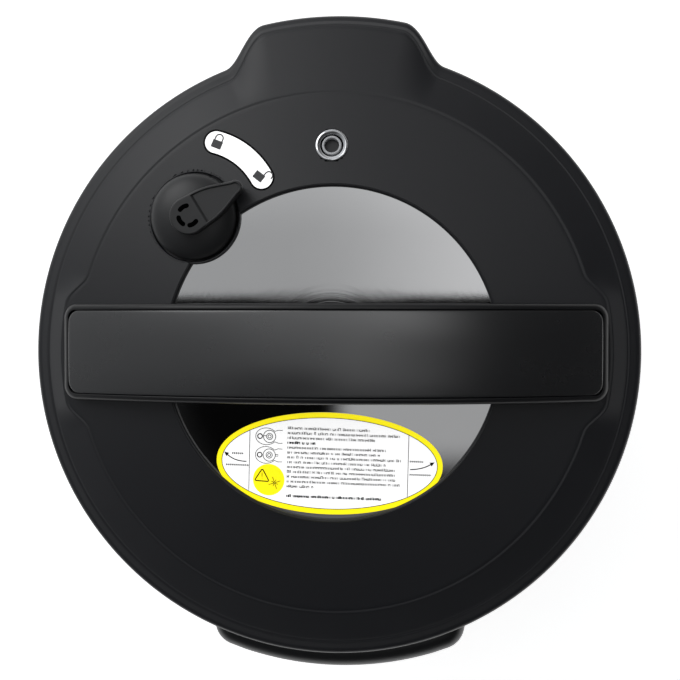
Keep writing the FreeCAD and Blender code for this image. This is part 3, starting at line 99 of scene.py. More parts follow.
def rounded_loop(corners: Sequence[Tuple[float, float, float]], per: int = 8) -> Array:
    """Closed loop of straight lines whose corners are tangent arcs.

    The arc of a corner starts at a distance r tan(turn / 2) from it, and its points are the circle's
    centre plus the radius turned evenly from one tangent point to the other.

    Args:
        corners: (x, y, radius) of each corner in order.
        per: points on each arc.
    Returns:
        an (n, 2) array whose last point repeats the first.
    """
    pts = np.array([c[:2] for c in corners], float)
    radii = [c[2] for c in corners]
    out: List[Array] = []
    count = len(pts)
    for i in range(count):
        a, b, c = pts[i - 1], pts[i], pts[(i + 1) % count]
        u = (a - b) / np.linalg.norm(a - b)
        v = (c - b) / np.linalg.norm(c - b)
        r = radii[i]
        half = math.acos(float(np.clip(np.dot(u, v), -1, 1))) / 2.0
        if r <= 0 or abs(half - math.pi / 2) < 1e-6:
            out.append(b[None])
            continue
        trim = r / math.tan(half)
        centre = b + (u + v) / np.linalg.norm(u + v) * (r / math.sin(half))
        s, e = b + u * trim - centre, b + v * trim - centre
        a0 = math.atan2(s[1], s[0])
        turn = (math.atan2(e[1], e[0]) - a0 + math.pi) % (2 * math.pi) - math.pi
        angles = a0 + np.linspace(0, 1, per) * turn
        out.append(centre + r * np.stack([np.cos(angles), np.sin(angles)], axis=1))
    loop = np.concatenate(out)
    return np.concatenate([loop, loop[:1]])


def resampled(loop: Array, n: int) -> Array:
    """The same path with n points at even steps of its length.

    Args:
        loop: (m, 2) path.
        n: number of points.
    Returns:
        an (n, 2) array with the same two ends.
    """
    step = np.linalg.norm(np.diff(loop, axis=0), axis=1)
    run = np.concatenate([[0.0], np.cumsum(step)])
    keep = np.concatenate([[True], step > 1e-9])
    want = np.linspace(0, run[-1], n)
    return np.stack([np.interp(want, run[keep], loop[keep, k]) for k in (0, 1)], axis=1)


def inward(loop: Array) -> Array:
    """Unit normals in plan of a closed anticlockwise loop, pointing inwards.

    Args:
        loop: (n, 2) closed loop whose last point repeats the first.
    Returns:
        an (n, 2) array: the tangent, from neighbour to neighbour, turned 90 degrees to the left.
    """
    body = loop[:-1]
    tangent = np.roll(body, -1, axis=0) - np.roll(body, 1, axis=0)
    tangent /= np.maximum(np.linalg.norm(tangent, axis=1, keepdims=True), 1e-12)
    normal = np.stack([-tangent[:, 1], tangent[:, 0]], axis=1)
    area = 0.5 * np.sum(body[:, 0] * np.roll(body[:, 1], -1) - np.roll(body[:, 0], -1) * body[:, 1])
    normal *= 1.0 if area > 0 else -1.0
    return np.concatenate([normal, normal[:1]])


def turned_points(points: Array, centre: Tuple[float, float], degrees: float) -> Array:
    """Points in plan turned about the origin and then moved to a centre.

    Args:
        points: (..., 2) array.
        centre: where the origin goes.
        degrees: anticlockwise angle.
    Returns:
        the moved points.
    """
    a = math.radians(degrees)
    turn = np.array([[math.cos(a), math.sin(a)], [-math.sin(a), math.cos(a)]])
    return points @ turn + np.array(centre)


# ---------------------------------------------------------------- meshes

@dataclass
class Shell:
    """Vertices in millimetres and faces of one or more closed surfaces."""

    points: Array
    quads: Array

    @staticmethod
    def grid(points: Array) -> "Shell":
        """Quads between the neighbours of an (nu, nv, 3) grid of points.

        Args:
            points: the grid.
        Returns:
            the surface.
        """
        nu, nv = points.shape[:2]
        index = np.arange(nu * nv).reshape(nu, nv)
        quads = np.stack([index[:-1, :-1], index[1:, :-1], index[1:, 1:], index[:-1, 1:]], axis=-1)
        return Shell(points.reshape(-1, 3), quads.reshape(-1, 4))

    @staticmethod
    def joined(shells: Sequence["Shell"]) -> "Shell":
        """Several surfaces as one.

        Args:
            shells: the surfaces.
        Returns:
            their union, unchanged.
        """
        starts = np.cumsum([0] + [len(s.points) for s in shells[:-1]])
        return Shell(np.concatenate([s.points for s in shells]),
                     np.concatenate([s.quads + k for s, k in zip(shells, starts)]))

    def welded(self) -> Tuple[Array, Array, Array]:
        """Merges points closer than a micrometre, so that seams and poles are closed.

        Returns:
            the points, the faces that keep four corners, and the faces left with three.
        """
        keys = np.round(self.points / 1e-3).astype(np.int64)
        _, first, back = np.unique(keys, axis=0, return_index=True, return_inverse=True)
        quads = back.reshape(-1)[self.quads]
        same = quads == np.roll(quads, -1, axis=1)
        crossed = (quads[:, 0] == quads[:, 2]) | (quads[:, 1] == quads[:, 3])
        full = quads[(same.sum(axis=1) == 0) & ~crossed]
        threes = []
        for k in range(4):
            rows = quads[(same.sum(axis=1) == 1) & same[:, k] & ~crossed]
            threes.append(rows[:, [c for c in range(4) if c != (k + 1) % 4]])
        return self.points[first], full, np.concatenate(threes)

    def mesh(self, name: str, sharp: float = 35.0) -> bpy.types.Object:
        """Blender object of the surface, in metres, smooth but for edges above an angle.

        Args:
            name: the object's name.
            sharp: angle in degrees from which an edge is drawn sharp.
        Returns:
            the object, linked to the scene.
        """
        points, quads, tris = self.welded()
        a, b, c = points[quads[:, 0]], points[quads[:, 1]], points[quads[:, 2]]
        d = points[quads[:, 3]]
        volume = np.sum(np.einsum("ij,ij->i", a, np.cross(b, c)) + np.einsum("ij,ij->i", a, np.cross(c, d)))
        if len(tris):
            volume += np.sum(np.einsum("ij,ij->i", points[tris[:, 0]],
                                       np.cross(points[tris[:, 1]], points[tris[:, 2]])))
        if volume < 0:
            quads, tris = quads[:, ::-1], tris[:, ::-1]
        loops = np.concatenate([quads.reshape(-1), tris.reshape(-1)]).astype(np.int32)
        sizes = np.concatenate([np.full(len(quads), 4), np.full(len(tris), 3)]).astype(np.int32)
        starts = np.concatenate([[0], np.cumsum(sizes)[:-1]]).astype(np.int32)
        mesh = bpy.data.meshes.new(name)
        mesh.vertices.add(len(points))
        mesh.vertices.foreach_set("co", (points * MM).astype(np.float32).reshape(-1))
        mesh.loops.add(len(loops))
        mesh.loops.foreach_set("vertex_index", loops)
        mesh.polygons.add(len(sizes))
        mesh.polygons.foreach_set("loop_start", starts)
        mesh.update(calc_edges=True)
        mesh.validate()
        mesh.polygons.foreach_set("use_smooth", np.ones(len(mesh.polygons), dtype=bool))
        mesh.set_sharp_from_angle(angle=math.radians(sharp))
        mesh.update()
        obj = bpy.data.objects.new(name, mesh)
        bpy.context.scene.collection.objects.link(obj)
        return obj


def lathe(profile: Array, centre: Tuple[float, float] = (0.0, 0.0), segments: int = 256) -> Shell:
    """Closed loop of (radius, height) carried round an upright axis.

    Point (i, j) is centre + (r_j cos a_i, r_j sin a_i, z_j), with a_i even steps of a full turn.

    Args:
        profile: (n, 2) closed loop.
        centre: the axis in plan.
        segments: steps of the turn.
    Returns:
        the surface.
    """
    angle = np.linspace(0, 2 * np.pi, segments + 1)[:, None]
    r, z = profile[None, :, 0], profile[None, :, 1]
    x = centre[0] + r * np.cos(angle)
    y = centre[1] + r * np.sin(angle)
    return Shell.grid(np.stack([x, y, np.broadcast_to(z, x.shape)], axis=-1))


@dataclass(frozen=True)
class Station:
    """One ring of a loft: the outline moved in, drawn to the spine, and set between two heights."""

    inset: float
    draw: float
    upper: float
    rise: float
    relief: float = 0.0


def loft(outline: Array, spine: Array, stations: Sequence[Station], top: Height, bottom: Height,
         relief: Optional[Height] = None) -> Shell:
    """Closed outline in plan carried through stations between a lower and an upper surface.

    At a station the plan is (outline + inset * inward normal), mixed with the spine by draw. Its height
    is (1 - upper) * bottom + upper * top + rise + relief * relief height, each at that plan point.

    Args:
        outline: (n, 2) closed loop.
        spine: (n, 2) points that the loop shrinks to.
        stations: rings in order, the first and last closed by the spine or equal to each other.
        top: upper surface.
        bottom: lower surface.
        relief: extra height that only some stations follow.
    Returns:
        the surface.
    """
    normal = inward(outline)
    inset = np.array([s.inset for s in stations])[None, :, None]
    draw = np.array([s.draw for s in stations])[None, :, None]
    plan = (outline[:, None] + normal[:, None] * inset) * (1 - draw) + spine[:, None] * draw
    x, y = plan[..., 0], plan[..., 1]
    upper = np.array([s.upper for s in stations])[None]
    z = (1 - upper) * bottom(x, y) + upper * top(x, y) + np.array([s.rise for s in stations])[None]
    if relief is not None:
        z = z + np.array([s.relief for s in stations])[None] * relief(x, y)
    return Shell.grid(np.stack([x, y, z], axis=-1))


def rings(fillet: float, depth: float, inner: int = 8, relief: float = 0.0) -> List[Station]:
    """Stations of a pad: bottom, wall, rounded upper edge and a top drawn in to the spine.

    Args:
        fillet: radius of the rounding between wall and top.
        depth: how far the wall reaches below the top surface.
        inner: steps from the rounding to the spine.
        relief: share of the relief that the top takes.
    Returns:
        the stations.
    """
    a = np.radians(np.linspace(0, 90, 7))
    out = [Station(fillet, 1, 0, 0), Station(0.0, 0.5, 0, 0), Station(0, 0, 0, 0),
           Station(0, 0, 1, -depth)]
    out += [Station(fillet * (1 - math.cos(t)), 0, 1, fillet * (math.sin(t) - 1)) for t in a]
    out += [Station(fillet, k, 1, 0, relief) for k in np.linspace(0, 1, inner + 1)[1:]]
    return out


def flat(z: float) -> Height:
    """Level surface.

    Args:
        z: its height.
    Returns:
        the height function.
    """
    return lambda x, y: np.full(np.shape(x), float(z))


def plate(outline: Array, surface: Height, thick: float, spine: Optional[Array] = None,
          inner: int = 6, sink: float = 0.05) -> Shell:
    """Thin closed sheet that lies on a surface.

    Args:
        outline: (n, 2) closed loop.
        surface: what it lies on.
        thick: height above that surface.
        spine: points that the loop shrinks to; its mean if left out.
        inner: steps from the edge to the spine.
        sink: how far its underside is sunk in.
    Returns:
        the surface.
    """
    if spine is None:
        spine = np.broadcast_to(outline[:-1].mean(axis=0), outline.shape)
    low = [Station(0, k, 0, -sink) for k in np.linspace(1, 0, max(2, inner // 2 + 1))]
    high = [Station(0, k, 0, thick) for k in np.linspace(0, 1, inner + 1)]
    return loft(outline, spine, low + high, surface, surface)


def line_band(path: Array, width: float, surface: Height, thick: float, closed: bool = False) -> Shell:
    """Thin printed line of even width along a path on a surface.

    Its section is a flat box, carried along the path at half the width to either side.

    Args:
        path: (n, 2) centre line.
        width: full width.
        surface: what it lies on.
        thick: height above that surface.
        closed: whether the path is a loop whose last point repeats the first.
    Returns:
        the surface.
    """
    tangent = np.gradient(path, axis=0)
    if closed:
        tangent[0] = tangent[-1] = path[1] - path[-2]
    tangent /= np.maximum(np.linalg.norm(tangent, axis=1, keepdims=True), 1e-12)
    side = np.stack([-tangent[:, 1], tangent[:, 0]], axis=1) * width / 2.0
    offsets = np.array([1, 1, -1, -1, 1.0])[None, :, None]
    lifts = np.array([-0.03, thick, thick, -0.03, -0.03])[None]
    plan = path[:, None] + side[:, None] * offsets
    z = surface(plan[..., 0], plan[..., 1]) + lifts
    grid = np.concatenate([plan, z[..., None]], axis=-1)
    if not closed:
        ends = [np.repeat(g.mean(axis=0)[None], 5, axis=0)[None] for g in (grid[0, :4], grid[-1, :4])]
        grid = np.concatenate([ends[0], grid, ends[1]])
    return Shell.grid(grid)


# ---------------------------------------------------------------- finishes

class Grain(Enum):
    """Fine relief of a finish."""

    PEBBLE = "moulded texture"
    BRUSHED = "level brush lines"
    TURNED = "fine rings about the middle"
    CAST = "cast skin"
    SATIN = "faint unevenness"


@dataclass(frozen=True)
class Finish:
    """A finish whose colour, roughness and relief vary over the object by noise."""

    name: str
    color: Tuple[float, float, float]
    rough: float
    metallic: float = 0.0
    ior: float = 1.5
    grain: Grain = Grain.SATIN
    depth: float = 0.05
    scale: float = 900.0
    mottle: float = 0.06
    coat: float = 0.0
    glow: float = 0.0

    def material(self) -> bpy.types.Material:
        """Builds the finish as a node material on object coordinates.

        Returns:
            the material: noise scales the colour and the roughness, and a finer noise, stretched along
            the grain, gives the relief.
        """
        found = bpy.data.materials.get(self.name)
        if found is not None:
            return found
        mat = bpy.data.materials.new(self.name)
        mat.use_nodes = True
        tree = mat.node_tree
        tree.nodes.clear()
        new, link = tree.nodes.new, tree.links.new
        out = new("ShaderNodeOutputMaterial")
        shader = new("ShaderNodeBsdfPrincipled")
        link(shader.outputs["BSDF"], out.inputs["Surface"])
        place = new("ShaderNodeTexCoord")
        cloud = new("ShaderNodeTexNoise")
        cloud.inputs["Scale"].default_value = 45.0
        cloud.inputs["Detail"].default_value = 5.0
        link(place.outputs["Object"], cloud.inputs["Vector"])
        tint = new("ShaderNodeMix")
        tint.data_type = "RGBA"
        dark = [c * (1 - self.mottle) for c in self.color]
        light = [min(1.0, c * (1 + self.mottle)) for c in self.color]
        tint.inputs[6].default_value = (*dark, 1)
        tint.inputs[7].default_value = (*light, 1)
        link(cloud.outputs["Fac"], tint.inputs[0])
        link(tint.outputs[2], shader.inputs["Base Color"])
        spread = new("ShaderNodeMapRange")
        spread.inputs["To Min"].default_value = self.rough * 0.93
        spread.inputs["To Max"].default_value = min(1.0, self.rough * 1.07)
        link(cloud.outputs["Fac"], spread.inputs["Value"])
        link(spread.outputs["Result"], shader.inputs["Roughness"])
        shader.inputs["Metallic"].default_value = self.metallic
        shader.inputs["IOR"].default_value = self.ior
        shader.inputs["Coat Weight"].default_value = self.coat
        shader.inputs["Coat Roughness"].default_value = 0.12
        # Emission in the finish's own colour: the part glows though it is no lamp.
        if self.glow > 0:
            shader.inputs["Emission Color"].default_value = (*self.color, 1)
            shader.inputs["Emission Strength"].default_value = self.glow
        link(self._relief(tree, place), shader.inputs["Normal"])
        return mat

    def _relief(self, tree: bpy.types.NodeTree, place: bpy.types.Node) -> bpy.types.NodeSocket:
        """Adds the bump of the grain.

        Args:
            tree: the material's nodes.
            place: the texture coordinate node.
        Returns:
            the normal to use.
        """
        new, link = tree.nodes.new, tree.links.new
        fine = new("ShaderNodeTexNoise")
        fine.inputs["Scale"].default_value = self.scale
        fine.inputs["Detail"].default_value = 3.0
        source = place.outputs["Object"]
        if self.grain is Grain.TURNED:
            length = new("ShaderNodeVectorMath")
            length.operation = "LENGTH"
            flatten = new("ShaderNodeVectorMath")
            flatten.operation = "MULTIPLY"
            flatten.inputs[1].default_value = (1.0, 1.0, 0.0)
            link(source, flatten.inputs[0])
            link(flatten.outputs["Vector"], length.inputs[0])
            source = length.outputs["Value"]
        elif self.grain is Grain.BRUSHED:
            stretch = new("ShaderNodeMapping")
            stretch.inputs["Scale"].default_value = (0.02, 0.02, 1.0)
            link(source, stretch.inputs["Vector"])
            source = stretch.outputs["Vector"]
        link(source, fine.inputs["Vector"])
        bump = new("ShaderNodeBump")
        bump.inputs["Strength"].default_value = self.depth
        bump.inputs["Distance"].default_value = 0.0004
        link(fine.outputs["Fac"], bump.inputs["Height"])
        return bump.outputs["Normal"]


COVER = Finish("cover_black", (0.0092, 0.0098, 0.0128), 0.42, grain=Grain.PEBBLE, depth=0.10, scale=1500)
HANDLE = Finish("handle_black", (0.0058, 0.0060, 0.0072), 0.36, ior=1.45, grain=Grain.PEBBLE, depth=0.05,
                scale=1500)
CAP = Finish("cap_black", (0.0052, 0.0056, 0.0072), 0.27, ior=1.95, depth=0.02, scale=700)
KNOB = Finish("knob_black", (0.0200, 0.0205, 0.0220), 0.40, grain=Grain.PEBBLE, depth=0.06, scale=1500)
PANEL = Finish("panel_black", (0.0100, 0.0105, 0.0120), 0.36, grain=Grain.PEBBLE, depth=0.05, scale=1500)
BUTTONS = Finish("button_grey", (0.055, 0.057, 0.060), 0.40, grain=Grain.PEBBLE, depth=0.04, scale=1600)
GLASS = Finish("window_gloss", (0.004, 0.004, 0.005), 0.06, depth=0.0, coat=0.5)
MIRROR = Finish("steel_polished", (0.36, 0.36, 0.362), 0.035, metallic=1.0, grain=Grain.TURNED, depth=0.010,
                scale=2600, mottle=0.02)
CHROME = Finish("chrome", (0.74, 0.75, 0.77), 0.10, metallic=1.0, depth=0.01, mottle=0.03)
BRUSHED = Finish("steel_brushed", (0.37, 0.375, 0.38), 0.30, metallic=1.0, grain=Grain.BRUSHED, depth=0.22,
                 scale=5200, mottle=0.05)
POT = Finish("pot_aluminium", (0.60, 0.60, 0.61), 0.34, metallic=1.0, grain=Grain.TURNED, depth=0.08,
             scale=3000, mottle=0.05)
SHEET = Finish("sheet_steel", (0.50, 0.51, 0.52), 0.42, metallic=1.0, depth=0.08, mottle=0.08)
CASTING = Finish("cast_aluminium", (0.42, 0.42, 0.43), 0.55, metallic=1.0, grain=Grain.CAST, depth=0.35,
                 scale=700, mottle=0.12)
ZINC = Finish("zinc_plate", (0.58, 0.58, 0.60), 0.32, metallic=1.0, depth=0.06, mottle=0.10)
SILICONE = Finish("silicone", (0.62, 0.62, 0.60), 0.48, depth=0.05, mottle=0.04)
RUBBER = Finish("rubber", (0.016, 0.016, 0.016), 0.72, grain=Grain.PEBBLE, depth=0.15)
WIRE = Finish("wire_jacket", (0.55, 0.10, 0.06), 0.50, depth=0.05, mottle=0.10)
CERAMIC = Finish("ceramic", (0.78, 0.74, 0.66), 0.60, depth=0.12, mottle=0.05)
BOARD = Finish("circuit_board", (0.015, 0.12, 0.045), 0.45, depth=0.10, scale=600, mottle=0.15)
PARTS = Finish("component_black", (0.035, 0.035, 0.038), 0.50, depth=0.08, mottle=0.10)
MODULE = Finish("display_back", (0.020, 0.022, 0.026), 0.35, depth=0.04, mottle=0.10)
# Label film and yellow print glow by themselves: painted light that keeps them bright.
GLOWING_FILM = Finish("label_white_glowing", (0.88, 0.88, 0.88), 0.38, depth=0.03, scale=500, mottle=0.015, glow=0.85)
GLOWING_YELLOW = Finish("label_yellow_glowing", (0.98, 0.84, 0.002), 0.38, depth=0.03, scale=500, mottle=0.02, glow=0.78)
INK = Finish("label_ink", (0.010, 0.010, 0.012), 0.60, ior=1.2, depth=0.02, mottle=0.10)
GREY_INK = Finish("label_grey_ink", (0.020, 0.020, 0.024), 0.60, ior=1.2, depth=0.02, mottle=0.20)
MARK_GREY = Finish("label_mark_grey", (0.12, 0.12, 0.125), 0.60, ior=1.2, depth=0.02, mottle=0.15)
SEAL_WHITE = Finish("seal_white", (0.62, 0.63, 0.65), 0.40, depth=0.03, mottle=0.03)
# Near-black finish that reflects almost nothing: painted shade, used where slots, a hollow and a groove would lie
# in shadow.
PAINTED_SHADE = Finish("painted_shade_black", (0.0012, 0.0012, 0.0014), 0.80, ior=1.04, depth=0.02, mottle=0.20)
DIGITS = Finish("display_glow", (0.85, 0.10, 0.03), 0.5, glow=2.5, mottle=0.02)
LEGEND = Finish("legend_white", (0.70, 0.70, 0.70), 0.5, mottle=0.03)

SLOT_FINISHES: Dict[str, Finish] = {
    "cover_plastic": COVER, "handle_plastic": HANDLE, "cap_plastic": CAP, "knob_plastic": KNOB,
    "panel_plastic": PANEL, "button_plastic": BUTTONS, "lens": GLASS, "polished_steel": MIRROR,
    "brushed_steel": BRUSHED, "pot_metal": POT, "shell_metal": SHEET, "cast_metal": CASTING,
    "silicone": SILICONE, "foot_rubber": RUBBER, "wire_insulation": WIRE, "ceramic": CERAMIC,
    "circuit_board": BOARD, "component_plastic": PARTS, "display": MODULE, "screw_steel": ZINC,
    "label": GLOWING_FILM,
}


@dataclass
class Piece:
    """A made mesh and how it takes part in the frame."""

    name: str
    shell: Shell
    finish: Finish
    body: str
    slot: str
    replaces: Tuple[str, ...] = ()
    sharp: float = 35.0

    def place(self) -> bpy.types.Object:
        """Makes the mesh, dresses it and ties it to its body.

        Returns:
            the object.
        """
        obj = self.shell.mesh(self.name, self.sharp)
        obj.data.materials.append(self.finish.material())
        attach(obj, self.body)
        if self.replaces:
            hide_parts(*self.replaces)
        LOG.info("%s: %d faces on %s", self.name, len(obj.data.polygons), self.body)
        return obj


def box_mm(node: str) -> Tuple[Array, Array]:
    """Corners of a node in millimetres.

    Args:
        node: its name.
    Returns:
        the lowest and the highest corner.
    """
    low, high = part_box(node)
    return np.array(low) / MM, np.array(high) / MM


def joint_axis(name: str) -> Tuple[float, float]:
    """Where an upright joint axis stands, in millimetres.

    Args:
        name: the joint.
    Returns:
        x and y.
    """
    found = next(j for j in frame["joints"] if j["name"] == name)
    return found["pos_m"][0] / MM, found["pos_m"][1] / MM


# ---------------------------------------------------------------- lid

def let_down(x: Array, y: Array, z: Array, centre: Tuple[float, float], hole_r: float,
             low: Array, reach: float = 0.6) -> Tuple[Array, Array, Array]:
    """Lets the part of a surface inside a circle down, with an exactly round edge.

    Points inside the circle take the low height; points nearer to the circle than the reach move
    along their radius onto it, so the drop stands on the circle itself.

    Args:
        x: plan coordinate of the points.
        y: plan coordinate of the points.
        z: heights.
        centre: middle of the circle.
        hole_r: its radius.
        low: height of the let-down part.
        reach: how near a point must be to move.
    Returns:
        the new coordinates.
    """
    dx, dy = x - centre[0], y - centre[1]
    d = np.hypot(dx, dy)
    scale = np.where(np.abs(d - hole_r) < reach, hole_r / np.maximum(d, 1e-6), 1.0)
    z = np.where(d < hole_r, np.minimum(z, low), z)
    return centre[0] + dx * scale, centre[1] + dy * scale, z


@dataclass
class LidCover:
    """Black cover: a shallow cone with a crease, a bevelled rim and a rear tab."""

    edge_r: float = 150.8
    shoulder_in: float = 7.3
    crease_in: float = 23.8
    opening_r: float = 80.7
    tab_reach: float = 15.7
    tab_from: float = 12.2
    tab_to: float = 21.2
    ear: float = 7.5
    base_z: float = 237.5
    shoulder_z: float = 251.5
    crease_z: float = 258.0
    opening_z: float = 265.0
    segments: int = 864
    knob_hole_r: float = 22.2
    knob_floor_z: float = 259.0
    float_hole_r: float = 7.3
    float_floor_z: float = 255.6
    wall: float = 0.7

    def __post_init__(self) -> None:
        """Takes the rim's place from the frame."""
        high = box_mm("lid_cover")[1]
        self.edge_r = float(high[0]) - 0.2
        self.tab_reach = float(high[1]) - 0.2 - self.edge_r
        self.base_z = float(high[2]) - 27.8
        self.shoulder_z = self.base_z + 14.0
        self.crease_z = self.base_z + 20.5
        self.opening_z = self.base_z + 27.5

    def slope(self, x: Array, y: Array) -> Array:
        """Height of the inner slope, a cone from the opening down to the crease.

        Args:
            x: plan coordinate.
            y: plan coordinate.
        Returns:
            the height, which falls in proportion to the radius.
        """
        r = np.hypot(x, y)
        inner, outer = self.opening_r + 4.0, self.edge_r - self.crease_in
        return self.opening_z - (r - inner) / (outer - inner) * (self.opening_z - self.crease_z)

    def _section(self, angle: Array) -> Tuple[Array, Array]:
        """Section at each angle: from the opening's lip out to the rim and back underneath.

        Args:
            angle: angles of the sections in radians.
        Returns:
            radii and heights, each (angles, points). The rim and the shoulder move out by the tab's
            reach times a smooth step of the angle from the rear; the crease flares by the ears' reach
            beside the handle's ends.
        """
        rear = np.degrees(np.abs((angle - np.pi / 2 + np.pi) % (2 * np.pi) - np.pi))
        side = np.degrees(np.minimum(angle % np.pi, np.pi - angle % np.pi))
        tab = self.tab_reach * (1 - ramp(rear, self.tab_from, self.tab_to))
        flare = self.ear * (1 - ramp(side, 10.5, 17.5))
        edge = (self.edge_r + tab)[:, None]
        shoulder = edge - self.shoulder_in + 0.08 * tab[:, None]
        crease = (self.edge_r - self.crease_in + flare)[:, None]
        ones = np.ones_like(edge)
        lip, z0 = self.opening_r, self.opening_z
        radii: List[Array] = []
        heights: List[Array] = []

        def add(r: Array, z: Array) -> None:
            """Adds points to every section; a single row serves all angles."""
            radii.append(np.broadcast_to(r, (len(angle), np.shape(r)[-1])))
            heights.append(np.broadcast_to(z, (len(angle), np.shape(z)[-1])))

        nose = arc(lip + 0.9, z0 - 0.9, 0.9, 180, 82, 7)
        add(ones * lip, ones * (z0 - 5.2))
        add(nose[None, :, 0], nose[None, :, 1])
        t = np.linspace(0, 1, 34)[None]
        start, end = lip + 1.2, crease - 0.9
        r = start + (end - start) * t
        z = self.slope(r, 0 * r)
        sag = z[:, -1:]
        add(r, z)
        groove = np.array([[-0.45, -0.12], [0.0, -0.26], [0.45, -0.24], [0.95, -0.22]])
        add(crease + groove[None, :, 0], sag + groove[None, :, 1])
        t = np.linspace(0, 1, 22)[None]
        start, end = crease + 1.4, shoulder - 0.6
        r = start + (end - start) * t[:, :]
        add(r, (sag - 0.3) + (self.shoulder_z + 0.25 - sag + 0.3) * t)
        line = np.array([[-0.4, 0.12], [0.0, -0.16], [0.4, -0.22], [0.8, -0.16]])
        add(shoulder + line[None, :, 0], self.shoulder_z + line[None, :, 1])
        t = np.linspace(0, 1, 6)[None]
        start, end = shoulder + 1.1, edge - 2.8
        add(start + (end - start) * t, self.shoulder_z - 0.25 - 1.75 * t)
        t = np.radians(np.linspace(12, 84, 9))[None]
        add(edge - 2.8 + 2.8 * np.sin(t), self.shoulder_z - 5.0 + 2.9 * np.cos(t))
        add(edge * np.ones((1, 5)), ones * np.linspace(self.shoulder_z - 5.2, self.base_z + 0.5, 5)[None])
        add(edge - 0.5, ones * self.base_z)
        add(edge - 2.4, ones * self.base_z)
        add(edge - 2.6, ones * (self.base_z + 9.5))
        add(shoulder - 1.5, ones * (self.shoulder_z - 2.8))
        add(crease - 0.5, sag - 2.7)
        add(ones * (lip + 4.0), ones * (z0 - 2.6))
        add(ones * (lip + 1.8), ones * (z0 - 5.4))
        add(ones * lip, ones * (z0 - 5.2))
        return np.concatenate(radii, axis=1), np.concatenate(heights, axis=1)

    def build(self, knob: Tuple[float, float], valve: Tuple[float, float]) -> Piece:
        """Builds the cover, let down under the knob's well and the float valve's bush.

        Args:
            knob: knob axis in plan.
            valve: float valve axis in plan.
        Returns:
            the piece.
        """
        angle = np.linspace(0, 2 * np.pi, self.segments + 1)
        r, z = self._section(angle)
        x, y = r * np.cos(angle)[:, None], r * np.sin(angle)[:, None]
        for centre, hole, floor in ((knob, self.knob_hole_r, self.knob_floor_z),
                                    (valve, self.float_hole_r, self.float_floor_z)):
            low = np.where(z > self.slope(x, y) - 1.0, floor, floor - self.wall)
            x, y, z = let_down(x, y, z, centre, hole, low)
        shell = Shell.grid(np.stack([x, y, z], axis=-1))
        return Piece("lid_cover_skin", shell, COVER, "lid", "cover_plastic", ("lid_cover",), sharp=28)


@dataclass
class KnobWell:
    """Round collar of the cover about the steam knob; it reaches over the polished dome."""

    centre: Tuple[float, float]
    cover: LidCover
    outer_r: float = 22.9
    well_r: float = 21.9
    spigot_r: float = 8.9
    floor_z: float = 259.6
    under_z: float = 258.6

    def top(self, x: Array, y: Array) -> Array:
        """Height of the collar's rim: the slope plus a little, kept within two levels.

        Args:
            x: plan coordinate.
            y: plan coordinate.
        Returns:
            the height.
        """
        return np.clip(self.cover.slope(x, y) + 0.20, self.floor_z + 0.35, self.cover.opening_z + 0.1)

    def build(self) -> Piece:
        """Builds the collar as a closed ring with a level floor.

        Returns:
            the piece.
        """
        loop = arc(*self.centre, self.outer_r, 0, 360, 193)
        wall = self.outer_r - self.well_r
        stations = [Station(self.outer_r - self.spigot_r, 0, 0, 0), Station(0.2, 0, 0, 0),
                    Station(0, 0, 0, 0.3)]
        stations += [Station(0.3 * (1 - math.cos(t)), 0, 1, 0.3 * (math.sin(t) - 1))
                     for t in np.radians(np.linspace(0, 90, 6))]
        stations += [Station(wall - 0.7 + 0.7 * math.sin(t), 0, 1, 0.7 * (math.cos(t) - 1))
                     for t in np.radians(np.linspace(0, 90, 6))]
        drop = self.floor_z - self.under_z
        stations += [Station(wall + 0.05, 0, 0, drop), Station(self.outer_r - self.spigot_r, 0, 0, drop),
                     Station(self.outer_r - self.spigot_r, 0, 0, 0)]
        shell = loft(loop, loop, stations, self.top, flat(self.under_z))
        return Piece("knob_well", shell, COVER, "lid", "cover_plastic", sharp=40)


@dataclass
class SteelDome:
    """Polished skin of the lid's dome: a very flat sphere."""

    edge_r: float = 83.9
    edge_z: float = 258.5
    rise: float = 2.5
    cap_r: float = 84.0
    skin: float = 4.2
    rings: int = 150
    segments: int = 480

    def height(self, x: Array, y: Array) -> Array:
        """Height of the skin's face: edge height + sqrt(R^2 - r^2) - sqrt(R^2 - edge^2).

        Args:
            x: plan coordinate.
            y: plan coordinate.
        Returns:
            the height.
        """
        big = (self.cap_r ** 2 + self.rise ** 2) / (2 * self.rise)
        return self.edge_z + self.skin + np.sqrt(big ** 2 - np.hypot(x, y) ** 2) - (big - self.rise)

    def build(self, knob: Tuple[float, float], hole_r: float) -> Piece:
        """Builds the skin as a polar grid, let down inside the knob's well.

        Args:
            knob: knob axis in plan.
            hole_r: radius of the let-down part.
        Returns:
            the piece: a face, a short wall and a level underside.
        """
        a = np.linspace(0, 2 * np.pi, self.segments + 1)[:, None]
        r = self.edge_r * np.linspace(0, 1, self.rings)[None] ** 0.8
        x, y = r * np.cos(a), r * np.sin(a)
        x, y, z = let_down(x, y, self.height(x, y), knob, hole_r, np.full_like(x, self.edge_z + 0.35))
        top = np.stack([x, y, z], axis=-1)
        under = top[:, ::-15].copy()
        under[..., 2] = self.edge_z + 0.1
        return Piece("dome_skin", Shell.grid(np.concatenate([top, under], axis=1)), MIRROR, "lid",
                     "polished_steel", sharp=30)


